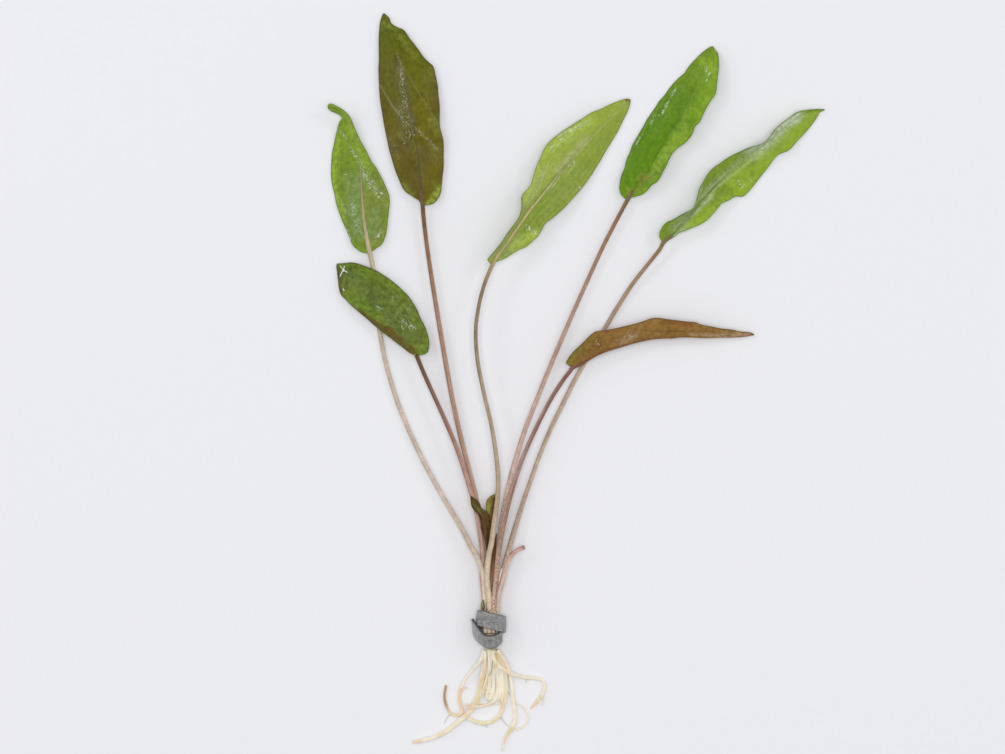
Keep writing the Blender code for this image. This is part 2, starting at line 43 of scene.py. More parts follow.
# The plant is laid out on a picture of it, X to the right and Y down, as in the solids
picture = {
    "width": 1005,
    "height": 754,
    "plantLength": 250.6 * mm,
    "top": 12.75,           # highest leaf tip
    "bottom": 750.75,       # lowest root tip
    "middleX": 575.2,
}
picture["middleY"] = 0.5 * (picture["top"] + picture["bottom"])
metresPerPoint = picture["plantLength"] / (picture["bottom"] - picture["top"])


def place(x, y, height=0.0):
    # a point of the picture, height in mm above the surface
    return np.array([
        (x - picture["middleX"]) * metresPerPoint,
        (picture["middleY"] - y) * metresPerPoint,
        height * mm,
    ])


# Curves, sheets and tubes

def smoothLine(values, knots, at):
    # one smooth curve through values, one at each knot, read at every place in at
    values = np.asarray(values, float)
    if values.ndim == 1:
        values = values[:, None]
    knots = np.asarray(knots, float)
    at = np.asarray(at, float)
    last = len(knots) - 1
    before = np.maximum(np.arange(last + 1) - 1, 0)
    after = np.minimum(np.arange(last + 1) + 1, last)
    slopes = (values[after] - values[before]) / (knots[after] - knots[before])[:, None]
    segment = np.clip(np.searchsorted(knots, at, side="right") - 1, 0, last - 1)
    span = (knots[segment + 1] - knots[segment])[:, None]
    t = (at - knots[segment])[:, None] / span
    startWeight = 2 * t ** 3 - 3 * t ** 2 + 1
    return (
        values[segment] * startWeight
        + values[segment + 1] * (1 - startWeight)
        + slopes[segment] * span * (t ** 3 - 2 * t ** 2 + t)
        + slopes[segment + 1] * span * (t ** 3 - t ** 2)
    )


def evenlySpread(values, at):
    # values stand at even steps from 0 to 1
    return smoothLine(values, np.linspace(0, 1, len(values)), at)[:, 0]


def lengthKnots(points):
    steps = np.linalg.norm(np.diff(points, axis=0), axis=1)
    return np.concatenate([[0.0], np.cumsum(steps)])


def evenLine(points, count):
    points = np.asarray(points, float)
    knots = lengthKnots(points)
    return smoothLine(points, knots, np.linspace(0, knots[-1], count))


def routeOf(points, count, before=(), after=()):
    # an even line through points of the picture, between places that are known already
    return evenLine([*before, *(place(*point) for point in points), *after], count)


def softStep(low, high, value):
    t = np.clip((value - low) / (high - low), 0, 1)
    return t * t * (3 - 2 * t)


def unit(vectors):
    return vectors / np.maximum(np.linalg.norm(vectors, axis=-1, keepdims=True), tiny)


def distanceToLine(points, line):
    # points and line in the picture's plane, in metres; the nearest distance of each point
    nearest = np.full(len(points), np.inf)
    for start, end in zip(line[:-1], line[1:]):
        run = end - start
        t = np.clip(((points - start) @ run) / max(run @ run, tiny), 0, 1)
        gap = np.linalg.norm(points - (start + t[:, None] * run), axis=1)
        nearest = np.minimum(nearest, gap)
    return nearest


def strokeMask(spots, strokes):
    # about 1 on a stroke's line, fading to 0 at about one and a half times its half width
    total = np.zeros(len(spots))
    for line, halfWidthMm, *strength in strokes:
        path = np.array([place(x, y)[:2] for x, y in line])
        gap = distanceToLine(spots, path) / (halfWidthMm * mm)
        total = np.maximum(total, np.exp(-gap ** 2) * (strength[0] if strength else 1))
    return total


def noiseAt(grid, perMetre, seed):
    # a soft noise over all points of a grid, with about perMetre swells in a metre
    shift = Vector((seed * 13.7, seed * 5.1, seed * 9.3))
    values = [noise.noise(Vector(point) * perMetre + shift) for point in grid.reshape(-1, 3)]
    return np.array(values).reshape(grid.shape[:-1])


def addMask(mesh, key, values):
    layer = mesh.attributes.new(key, "FLOAT", "POINT")
    layer.data.foreach_set("value", np.asarray(values, np.float32).reshape(-1))


def addToScene(name, data):
    thing = bpy.data.objects.new(name, data)
    bpy.context.scene.collection.objects.link(thing)
    return thing


def meshFromGrid(name, grid, masks, tube=False):
    # grid is rows x columns x 3, masks are rows x columns; a tube is closed round and capped
    rows, columns = grid.shape[:2]
    faces = []
    for r in range(rows - 1):
        for c in range(columns if tube else columns - 1):
            d = (c + 1) % columns
            faces.append((r * columns + c, r * columns + d, (r + 1) * columns + d, (r + 1) * columns + c))
    if tube:
        faces.append(tuple(reversed(range(columns))))
        faces.append(tuple((rows - 1) * columns + c for c in range(columns)))
    mesh = bpy.data.meshes.new(name)
    mesh.from_pydata(grid.reshape(-1, 3).tolist(), [], faces)
    for key, values in masks.items():
        addMask(mesh, key, values)
    mesh.shade_smooth()
    mesh.update()
    return addToScene(name, mesh)


def thicken(piece, thicknessMm):
    thickness = piece.modifiers.new("Thickness", "SOLIDIFY")
    thickness.thickness = thicknessMm * mm
    thickness.offset = 0.0


def finishPiece(piece, material, nodes=()):
    piece.data.materials.append(material)
    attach(piece, "root")
    if nodes:
        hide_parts(*nodes)


# Materials

smooth = {"interpolation_type": "SMOOTHSTEP"}
times = {"operation": "MULTIPLY"}
plus = {"operation": "ADD"}
minus = {"operation": "SUBTRACT", "use_clamp": True}
overlay = {"data_type": "RGBA"}
shading = {"data_type": "RGBA", "blend_type": "MULTIPLY"}


def hexColor(text):
    # sRGB hex to linear, as every colour here is given
    parts = [int(text[i:i + 2], 16) / 255 for i in (1, 3, 5)]
    linear = [p / 12.92 if p <= 0.04045 else ((p + 0.055) / 1.055) ** 2.4 for p in parts]
    return (*linear, 1.0)


def setSockets(tree, node, values):
    # values by name or number, or in the sockets' order: numbers, hex colours, other nodes' outputs
    for key, value in values.items() if isinstance(values, dict) else enumerate(values):
        if isinstance(value, bpy.types.NodeSocket):
            tree.links.new(value, node.inputs[key])
        else:
            node.inputs[key].default_value = hexColor(value) if isinstance(value, str) else value


def addNode(tree, kind, sockets=(), settings=None, output=0):
    node = tree.nodes.new("ShaderNode" + kind)
    for key, value in (settings or {}).items():
        setattr(node, key, value)
    setSockets(tree, node, sockets)
    return node.outputs[output]


def newMaterial(name, patterns=None, masks=()):
    # patterns are noises over the piece: the width of one blotch in mm, detail and roughness.
    # masks are the piece's own. read holds the outputs of both, and spot, the place in mm.
    material = bpy.data.materials.new(name)
    material.use_nodes = True
    tree = material.node_tree
    where = addNode(tree, "TexCoord", output="Object")
    spot = addNode(tree, "VectorMath", {0: where, "Scale": 1 / mm}, {"operation": "SCALE"})
    read = {"spot": spot}
    for key, (sizeMm, detail, roughness) in (patterns or {}).items():
        read[key] = addNode(tree, "TexNoise", {
            "Vector": spot, "Scale": 1 / sizeMm, "Detail": detail, "Roughness": roughness})
    for key in masks:
        read[key] = addNode(tree, "Attribute", settings={"attribute_name": key}, output="Fac")
    return material, tree, read


def paintLayers(tree, color, layers):
    # each layer fades in between two readings, softly if not straight, up to its amount,
    # over the layers before it
    for reading, low, high, amount, over, *straight in layers:
        factor = addNode(tree, "MapRange", [reading, low, high, 0.0, amount], None if straight else smooth)
        color = addNode(tree, "Mix", {0: factor, 6: color, 7: over}, overlay, 2)
    return color


def toned(tree, color, tone):
    # the colour made darker or lighter by tone, which is 1 where it stays as it is
    grey = addNode(tree, "CombineColor", [tone, tone, tone])
    return addNode(tree, "Mix", {0: 1.0, 6: color, 7: grey}, shading, 2)


def finishMaterial(material, values):
    # what is the same all over the surface stands as a number on the shader's own socket
    tree = material.node_tree
    setSockets(tree, tree.nodes["Principled BSDF"], values)
    return material


leafSkin = {
    "patterns": {
        "blotch": (9.0, 2.0, 0.55),      # deep and pale regions of one blade
        "mottle": (2.6, 4.0, 0.55),      # soft lighter and darker blotches of the tissue
        "speckle": (1.4, 4.0, 0.55),
        "dash": (0.55, 1.0, 0.55),       # the dashes that a broken thread falls into
        "grain": (0.5, 2.0, 0.6),        # leaf cells are far finer; drawn this coarse so that they show
    },
    "masks": (
        "along", "across", "edgeMm", "vein", "rib", "crease", "glints", "sparks", "sheen", "brown",
        "bright",
    ),
    "roughnessSpan": (0.34, 0.52),
    "grainDepthMm": 0.02,
    "threadDepthMm": 0.1,
    "finish": {
        "IOR": 1.42,                     # waxy cuticle of a living leaf
        "Specular IOR Level": 0.22,      # under a water film the skin itself reflects about half as much
        "Coat IOR": 1.33,                # the thin water film over it
        "Coat Roughness": 0.07,
        "Subsurface Weight": 0.25,
        "Subsurface Radius": (0.8, 1.0, 0.2),
        "Subsurface Scale": 0.8 * mm,
    },
    "usualPalette": {
        "sideSpan": (-0.3, 0.3),         # where the left colour turns into the right one, 0 is the midrib
        "toneSpan": (0.86, 1.18),
        "mottleAmount": 0.5, "tipAmount": 0.0, "veinAmount": 0.2, "marginAmount": 0.5,
        "brownAmount": 0.8, "creaseAmount": 0.45,
        # thread is the colour of the painted highlights, the water film's bright threads and sparks
        "thread": "#DEE6D4",
        "threadMm": 1.2,                 # spacing of the bright threads of a broken water film
    },
}


def leafMaterial(name, colors):
    # A living leaf, wet: the waxy skin gives a broad sheen, the water film over it small
    # sharp glints. Along the creases the film's glints are also painted into the colour as pale
    # broken threads and sparks, painted highlights. The tissue shows as mottled green, paler
    # along veins, brown where it ages.
    material, tree, read = newMaterial(name, leafSkin["patterns"], leafSkin["masks"])
    palette = {**leafSkin["usualPalette"], "tip": colors["light"], **colors}
    patchy = addNode(tree, "MapRange", [read["speckle"], 0.3, 0.62, 0.45, 1.0], smooth)
    sheen = addNode(tree, "Math", [read["sheen"], patchy], times)
    bright = addNode(tree, "Math", [read["bright"], patchy], times)

    # brown is ragged: the two noises push its border in and out
    ragged = addNode(tree, "MapRange", [read["mottle"], 0.3, 0.7, -0.3, 0.3], smooth)
    frayed = addNode(tree, "MapRange", [read["speckle"], 0.3, 0.7, -0.2, 0.2], smooth)
    aging = addNode(tree, "Math", [read["brown"], ragged], plus)
    aging = addNode(tree, "Math", [aging, frayed], plus)
    aged = addNode(tree, "MapRange", [aging, 0.15, 0.95, 0.0, palette["brownAmount"]], smooth)
    onBrown = addNode(tree, "MapRange", [read["brown"], 0.02, 0.3], smooth)
    aged = addNode(tree, "Math", [aged, onBrown], times)

    color = paintLayers(tree, palette["left"], [
        (read["across"], *palette["sideSpan"], 1.0, palette["right"]),
        (read["mottle"], 0.44, 0.7, palette["mottleAmount"], palette["light"]),
        (read["blotch"], 0.47, 0.66, 0.65, palette["deep"]),
        (read["along"], 0.35, 1.0, palette["tipAmount"], palette["tip"]),
        (read["vein"], 0.0, 1.0, palette["veinAmount"], palette["vein"], "straight"),
        (read["edgeMm"], 1.7, 0.1, palette["marginAmount"], palette["margin"]),
        # painted sheen: pale patches painted in for reflections on the wet blade
        (sheen, 0.0, 1.0, 1.0, palette["sheen"], "straight"),
        (bright, 0.0, 1.0, 1.0, palette["bright"], "straight"),
        (aged, 0.0, 1.0, 1.0, palette["brown"], "straight"),
        (read["rib"], 0.0, 1.0, 1.0, palette["rib"], "straight"),
        # a thin darker rim along the margin: painted shade
        (read["edgeMm"], 0.4, 0.08, 0.75, palette["rim"]),
        # the crease colour: painted shade in the creases where it is darker, a painted highlight on the
        # olive and wavy blades, where it is paler
        (read["crease"], 0.0, 1.0, palette["creaseAmount"], palette["crease"], "straight"),
    ])
    patchTone = addNode(tree, "MapRange", [read["speckle"], 0.3, 0.7, *palette["toneSpan"]], smooth)
    grainTone = addNode(tree, "MapRange", [read["grain"], 0.3, 0.7, 0.92, 1.09], smooth)
    color = toned(tree, color, addNode(tree, "Math", [patchTone, grainTone], times))

    # the bright threads, painted highlights of the water film, are the thin level lines of a noise,
    # broken up by a second one; the sparks are painted highlights too
    glint = read["glints"]
    weave = addNode(tree, "TexNoise", {
        "Vector": read["spot"], "Scale": 1 / palette["threadMm"], "Detail": 1.0, "Roughness": 0.4})
    aboveLine = addNode(tree, "Math", [weave, 0.5], {"operation": "SUBTRACT"})
    offLine = addNode(tree, "Math", [aboveLine], {"operation": "ABSOLUTE"})
    threads = addNode(tree, "MapRange", [offLine, 0.055, 0.015], smooth)
    fuller = addNode(tree, "Math", [glint, 0.3], times)
    broken = addNode(tree, "Math", [read["dash"], fuller], plus)
    dashes = addNode(tree, "MapRange", [broken, 0.66, 0.8], smooth)
    onGlint = addNode(tree, "MapRange", [glint, 0.12, 0.75], smooth)
    threads = addNode(tree, "Math", [threads, dashes], times)
    threads = addNode(tree, "Math", [threads, onGlint], times)
    beads = addNode(tree, "MapRange", [read["dash"], 0.32, 0.56, 0.15, 1.0], smooth)
    sparks = addNode(tree, "Math", [read["sparks"], beads], times)
    threads = addNode(tree, "Math", [threads, sparks], {"operation": "MAXIMUM"})
    threadCover = addNode(tree, "Math", [threads, 0.85], times)
    color = addNode(tree, "Mix", {0: threadCover, 6: color, 7: palette["thread"]}, overlay, 2)

    rough = addNode(tree, "MapRange", [read["mottle"], 0.3, 0.7, *leafSkin["roughnessSpan"]], smooth)
    wetter = addNode(tree, "Math", [glint, 0.28], times)
    rough = addNode(tree, "Math", [rough, wetter], minus)
    cells = addNode(tree, "Bump", {
        "Strength": 0.7, "Distance": leafSkin["grainDepthMm"] * mm, "Height": read["grain"]})
    threadHeight = addNode(tree, "Math", [threads, glint], times)
    film = addNode(tree, "Bump", {
        "Strength": 1.0, "Distance": leafSkin["threadDepthMm"] * mm, "Height": threadHeight,
        "Normal": cells})
    return finishMaterial(material, {
        **leafSkin["finish"], "Base Color": color, "Roughness": rough, "Normal": film, "Coat Normal": film,
        "Coat Weight": addNode(tree, "MapRange", [glint, 0.0, 0.6, 0.06, 0.9], smooth),
    })


stalkSkin = {
    "patterns": {
        "blotch": (2.6, 3.0, 0.55),
        "speck": (0.5, 2.0, 0.7),        # brown flecks of old tissue
    },
    "masks": ("along", "skinX", "skinY", "skinZ"),
    "speckColor": "#7A5C48",
    "streakMm": 0.42,                    # fibres under the skin, drawn twice as wide so that they show
    "streakStretch": 22.0,               # how much longer than wide a streak is
    "streakDepthMm": 0.03,
    "finish": {
        "IOR": 1.42,
        "Specular IOR Level": 0.3,
        "Coat IOR": 1.33,
        "Coat Roughness": 0.1,
        "Subsurface Weight": 0.25,
        "Subsurface Radius": (1.2, 0.8, 0.5),
        "Subsurface Scale": 0.7 * mm,
    },
}


def stalkMaterial(name, ramp, flank, streakAndLight, wet=0.2, specks=0.55, lit=0.45, litSide=1):
    # A fleshy petiole, wet: its fibres show as long streaks. One flank is painted darker, a painted
    # shade, and the other paler, a painted light, as light falls on them. litSide is the paler one, 1 for
    # the right.
    # ramp goes from the crown to the blade.
    material, tree, read = newMaterial(name, stalkSkin["patterns"], stalkSkin["masks"])
    stops = addNode(tree, "ValToRGB", {"Fac": read["along"]})
    elements = stops.node.color_ramp.elements
    for index, (position, color) in enumerate(ramp):
        element = elements[index] if index < 2 else elements.new(position)
        element.position = position
        element.color = hexColor(color)
    skin = addNode(tree, "CombineXYZ", [read["skinX"], read["skinY"], read["skinZ"]])
    fibres = addNode(tree, "TexNoise", {
        "Vector": skin, "Scale": 1 / stalkSkin["streakMm"], "Detail": 3.0, "Roughness": 0.6})
    sideways = addNode(tree, "Math", [read["skinX"], litSide], times)

    # the painted-lit flank, the streaks and the flecks each fade along the stalk
    fading = {}
    for key, source, span, amounts in (
        ("lit", (sideways, 0.15, 0.9, 0.0, lit), (0.6, 0.9), (1.0, 0.2)),
        ("streaks", (fibres, 0.44, 0.66, 0.0, 0.6), (0.35, 0.85), (1.0, 0.15)),
        ("specks", (read["speck"], 0.5, 0.61, 0.0, 1.0), (0.45, 0.05), (0.25, specks)),
    ):
        shown = addNode(tree, "MapRange", source, smooth)
        here = addNode(tree, "MapRange", [read["along"], *span, *amounts], smooth)
        fading[key] = addNode(tree, "Math", [shown, here], times)
    color = paintLayers(tree, stops, [
        # painted shade on the flank away from litSide; the next layer paints the other flank lighter, a
        # painted light
        (sideways, 0.1, -0.75, 0.3, flank),
        (fading["lit"], 0.0, 1.0, 1.0, streakAndLight, "straight"),
        (fading["streaks"], 0.0, 1.0, 1.0, streakAndLight, "straight"),
        (fibres, 0.44, 0.34, 0.35, flank),
        (fading["specks"], 0.0, 1.0, 1.0, stalkSkin["speckColor"], "straight"),
    ])
    color = toned(tree, color, addNode(tree, "MapRange", [read["blotch"], 0.3, 0.7, 0.88, 1.1], smooth))
    ridges = addNode(tree, "Bump", {
        "Strength": 0.8, "Distance": stalkSkin["streakDepthMm"] * mm, "Height": fibres})
    return finishMaterial(material, {
        **stalkSkin["finish"], "Base Color": color, "Normal": ridges, "Coat Weight": wet,
        "Roughness": addNode(tree, "MapRange", [read["blotch"], 0.3, 0.7, 0.26, 0.44], smooth),
    })


rootSkin = {
    "patterns": {"blotch": (3.4, 2.0, 0.55), "fine": (0.9, 2.0, 0.55)},
    "masks": ("brown", "flank", "orange", "yellow"),
    "fineDepthMm": 0.02,
    "finish": {
        "IOR": 1.38,
        "Specular IOR Level": 0.3,
        "Coat IOR": 1.33,
        "Coat Weight": 0.25,
        "Coat Roughness": 0.12,
        "Subsurface Radius": (1.0, 1.0, 0.95),
        "Subsurface Scale": 0.5 * mm,
    },
}


def rootMaterial(name, pale, warm, brownTip, scatter=1.0):
    # A fresh root: watery and half see-through, cream with warm and yellowish stretches.
    material, tree, read = newMaterial(name, rootSkin["patterns"], rootSkin["masks"])
    color = paintLayers(tree, pale, [
        (read["blotch"], 0.4, 0.66, 0.7, warm),
        (read["fine"], 0.4, 0.7, 0.2, "#FFFBF0"),
        (read["orange"], 0.0, 1.0, 0.75, "#EFC9A2", "straight"),
        (read["yellow"], 0.0, 1.0, 0.75, "#DDD092", "straight"),
        (read["brown"], 0.0, 1.0, 1.0, brownTip, "straight"),
        # painted light: the flanks are painted paler, as if light came through them
        (read["flank"], 0.5, 1.0, 0.5, "#FFFDF8"),
    ])
    bump = addNode(tree, "Bump", {
        "Strength": 0.5, "Distance": rootSkin["fineDepthMm"] * mm, "Height": read["fine"]})
    return finishMaterial(material, {
        **rootSkin["finish"], "Base Color": color, "Normal": bump, "Subsurface Weight": scatter,
        "Roughness": addNode(tree, "MapRange", [read["fine"], 0.3, 0.7, 0.28, 0.44], smooth),
    })


leadSkin = {
    "patterns": {"cloud": (1.3, 5.0, 0.7), "grain": (0.3, 3.0, 0.75)},
    "masks": ("cut", "paintedLitEnd"),
    "scuffMm": 0.9,
    "scuffTurn": 0.28,                   # radians from straight across the picture
    "scuffStretch": (0.22, 3.6, 1.0),    # long across, narrow along
    "depthMm": 0.05,
}


def leadMaterial(name):
    # Sheet lead, rolled and cut: a dull grey oxide skin over soft metal, with fine
    # scuffs from handling and darker cut edges. Painted shade darkens the upper edge, and the
    # loose end is painted lighter, a painted light.
    material, tree, read = newMaterial(name, leadSkin["patterns"], leadSkin["masks"])
    scuffWay = addNode(tree, "Mapping", {
        "Vector": read["spot"], "Rotation": (0.0, 0.0, leadSkin["scuffTurn"]),
        "Scale": leadSkin["scuffStretch"]})
    scuffs = addNode(tree, "TexNoise", {
        "Vector": scuffWay, "Scale": 1 / leadSkin["scuffMm"], "Detail": 4.0, "Roughness": 0.75})
    color = paintLayers(tree, "#7A797A", [
        (read["cloud"], 0.38, 0.62, 1.0, "#A09F9D"),
        (scuffs, 0.54, 0.66, 0.8, "#BFBEBC"), (scuffs, 0.46, 0.36, 0.7, "#5E5D5E"),
        # painted light: the loose end is painted lighter
        (read["paintedLitEnd"], 0.0, 1.0, 0.6, "#B6B6BA", "straight"),
        (read["grain"], 0.54, 0.7, 0.5, "#68686C"),
        # darker cut edges, and painted shade along the upper edge
        (read["cut"], 0.0, 1.0, 1.0, "#4E4E50", "straight"),
    ])
    scuffHeight = addNode(tree, "Math", [scuffs, 0.6], times)
    grainHeight = addNode(tree, "Math", [read["grain"], 0.4], times)
    height = addNode(tree, "Math", [scuffHeight, grainHeight], plus)
    bump = addNode(tree, "Bump", {"Strength": 0.9, "Distance": leadSkin["depthMm"] * mm, "Height": height})
    return finishMaterial(material, {
        "Base Color": color, "Metallic": 0.15, "Normal": bump,
        "Roughness": addNode(tree, "MapRange", [scuffs, 0.3, 0.7, 0.62, 0.42], smooth),
    })


# Leaf blades: the outline and midrib from base to tip, in picture points. Heights in mm are even
# steps from base to tip. Strokes are marks on the blade: a line, its half width in mm, its strength.

leftLeaf = {
    "name": "leftBlade", "node": "left_leaf_blade", "slot": "bright_green_leaf",
    "left": [
        (367, 252.5), (362, 252), (357, 249), (353, 245), (350, 239), (346, 229), (342, 220),
        (339, 212), (336, 203), (334, 193), (332, 184), (331, 175), (331, 165), (331.5, 156),
        (333, 147), (335, 138), (337, 130), (339, 122), (342, 118.3), (340.5, 115.6), (336, 113),
        (331, 111), (328, 108.6),
    ],
    "right": [
        (371, 251.2), (373, 250), (377, 247), (381, 244), (384, 238), (386, 230), (387, 222),
        (388, 212), (388.5, 206), (389, 200), (388, 194), (385, 186), (381, 177), (376, 168),
        (370, 159.5), (365, 150), (360, 141), (355, 130), (351, 120), (348, 115), (344, 111),
        (338, 107), (332, 104.2), (328.5, 104.4),
    ],
    "midrib": [
        (369, 252), (367, 240), (364.5, 225), (363, 212), (362, 200), (361, 185), (360.5, 172),
        (358, 155), (354.5, 140), (350, 128), (346, 117.5), (342, 113), (336, 109), (330, 106.8),
        (327.5, 106.5),
    ],
    "leftHeights": [2.2, 1.2, 0.75, 0.5, 0.4, 0.4, 0.7, 2.4, 6.0],
    "rightHeights": [2.2, 1.4, 1.05, 1.0, 1.35, 1.85, 2.65, 4.3, 5.8],
    "midribHeights": [2.4, 3.4, 3.6, 3.6, 3.6, 3.6, 3.75, 4.5, 6.2],
    "bulge": 0.10, "tipRoll": 0.55, "ribWidthMm": 1.3, "seed": 1,
    "creases": [
        [(338, 130), (342, 132), (345, 136), (348, 142), (352, 150), (357, 157), (361, 165),
         (364, 172), (368, 179), (373, 185), (378, 191), (381, 197)],
    ],
    "glints": [
        ([(339, 130), (345, 138), (352, 152)], 0.4, 0.7),
        ([(352, 152), (358, 160), (362, 168), (366, 178)], 0.8),
        ([(364, 176), (372, 186), (380, 196)], 1.5),
        ([(345, 175), (347, 182)], 1.0, 0.8), ([(352, 205), (356, 216), (358, 226)], 1.6, 0.7),
        ([(346, 228), (350, 238)], 0.5), ([(337, 196), (344, 208), (348, 216)], 0.7, 0.6),
        ([(378, 216), (374, 222)], 0.8, 0.6), ([(383, 204), (386, 205)], 0.4),
        ([(374, 240), (381, 230)], 0.9, 0.8), ([(360, 228), (364, 240)], 0.8, 0.5),
    ],
    "sparks": [
        ([(338.5, 130), (343, 133), (347, 139)], 0.12, 0.75),
        ([(349, 143), (353, 151), (357, 158)], 0.12, 0.5),
        ([(345, 229), (349, 235), (351, 240)], 0.13, 0.7),
    ],
    "sheen": [([(357, 180), (353, 210), (358, 232)], 3.4), ([(374, 212), (371, 235)], 2.2)],
    "bright": [([(337, 140), (334, 170), (336, 195), (343, 218)], 1.2), ([(352, 128), (368, 165)], 1.8)],
    "palette": {
        "left": "#748A24", "right": "#7B8734", "light": "#88A038", "deep": "#668022",
        "vein": "#889E48", "margin": "#86A430", "sheen": "#7A9052", "bright": "#8CA634",
        "brown": "#7A6E3A", "rib": "#9A966A", "rim": "#4C661C", "crease": "#58742E",
        "tip": "#789A26", "tipAmount": 0.5,
    },
}

smallLeaf = {
    "name": "smallBlade", "node": "small_leaf_blade", "slot": "dark_green_leaf",
    "left": [
        (413.5, 354), (409, 352), (404, 348), (397, 342.5), (390, 337), (383, 332), (377, 327),
        (370, 321), (364, 316), (357, 310), (351, 305), (346, 299.5), (341, 294), (339, 288),
        (338, 280), (337, 272), (336, 265),
    ],
    "right": [
        (418.5, 355), (420, 354.5), (424.4, 353.6), (427, 351.6), (428.2, 348), (428.6, 342),
        (427.6, 336), (425.6, 329.4), (423, 323.4), (419.4, 316.4), (416.4, 309.4), (412.6, 302.4),
        (408, 296), (402, 290), (397, 285), (390, 279.5), (384, 275.5), (377, 271), (370, 268),
        (365, 266), (359, 264), (353, 262.5), (347, 262.3), (341, 263), (336.6, 263.2),
    ],
    "midrib": [
        (416, 355), (413, 350.5), (406, 343), (397, 331), (386, 318), (374, 304.5), (362.5, 292),
        (351.5, 279.5), (344, 270.5), (336.6, 264),
    ],
    "leftHeights": [4.2, 3.7, 3.25, 3.05, 2.85, 2.35, 1.4, 0.9, 0.55],
    "rightHeights": [4.2, 3.0, 2.55, 2.4, 2.4, 2.85, 2.95, 2.3, 0.9],
    "midribHeights": [4.4, 5.1, 5.3, 5.4, 5.4, 5.2, 4.7, 3.6, 0.9],
    "bulge": 0.10, "ribWidthMm": 0.9, "seed": 2,
    "creases": [
        [(338, 264), (341, 268), (345, 273)], [(346, 262.6), (343, 268), (339, 275)],
        [(376, 304), (380, 309)], [(398, 302), (393, 312)], [(405, 318), (408, 326)],
    ],
    "glints": [
        ([(375, 305), (379, 309)], 0.6, 0.8), ([(397, 302), (394, 312)], 0.4, 0.35),
        ([(385, 316), (391, 324)], 0.7, 0.4), ([(401, 320), (413, 328)], 1.1, 0.7),
        ([(372, 274), (388, 283)], 1.4, 0.3), ([(408, 302), (405, 309)], 0.4, 0.4),
        ([(352, 275), (366, 285)], 1.4, 0.25), ([(396, 296), (399, 299)], 0.5, 0.8),
        ([(378, 290), (392, 300), (402, 314)], 2.2, 0.3),
    ],
    "sparks": [
        ([(339.7, 265.5), (343, 269.6), (347, 272)], 0.14, 2.0),
        ([(344.2, 265.6), (343, 270), (339.8, 276)], 0.14, 2.0),
        ([(342.4, 269), (343.8, 270.2)], 0.2, 2.0), ([(343.2, 288.6), (343.9, 289.6)], 0.18, 2.0),
        ([(377, 306), (380.5, 308.5)], 0.2, 0.8), ([(410, 304), (406, 311)], 0.14, 0.25),
        ([(398, 311), (395, 318)], 0.14, 0.25), ([(405, 322), (409, 327)], 0.16, 0.5),
        ([(401, 325), (403, 329)], 0.16, 0.5), ([(370, 288), (362, 300)], 0.12, 0.15),
        ([(384, 312), (398, 330)], 0.12, 0.12),
    ],
    "sheen": [([(352, 275), (372, 292), (392, 318), (408, 335)], 2.6, 0.75)],
    "brown": [
        ([(364, 315), (386, 330), (400, 342)], 1.2), ([(388, 328), (400, 339), (413, 351)], 1.2),
        ([(360, 311), (371, 319)], 0.7), ([(363, 265), (371, 268)], 0.7), ([(337, 268), (341, 293)], 0.6),
    ],
    "bright": [
        ([(364, 269), (368, 273)], 1.8, 0.8), ([(352, 297), (366, 307), (376, 315)], 1.5, 0.8),
        ([(342, 265), (350, 264)], 0.9, 0.6), ([(428, 330), (427, 348), (420, 352)], 1.4, 0.6),
        ([(390, 285), (400, 292)], 1.4, 0.6), ([(376, 275), (384, 279)], 1.0, 0.5),
    ],
    "palette": {
        "left": "#727F2E", "right": "#647222", "light": "#7E9040", "deep": "#485818",
        "vein": "#7C8C48", "margin": "#6A7E22", "marginAmount": 0.4, "sheen": "#5E7036",
        "bright": "#6E8A2A", "brown": "#664A20", "rib": "#66763A", "rim": "#38421C",
        "crease": "#3E5222", "veinAmount": 0.12, "toneSpan": (0.75, 1.24), "thread": "#EEF2E6",
    },
}

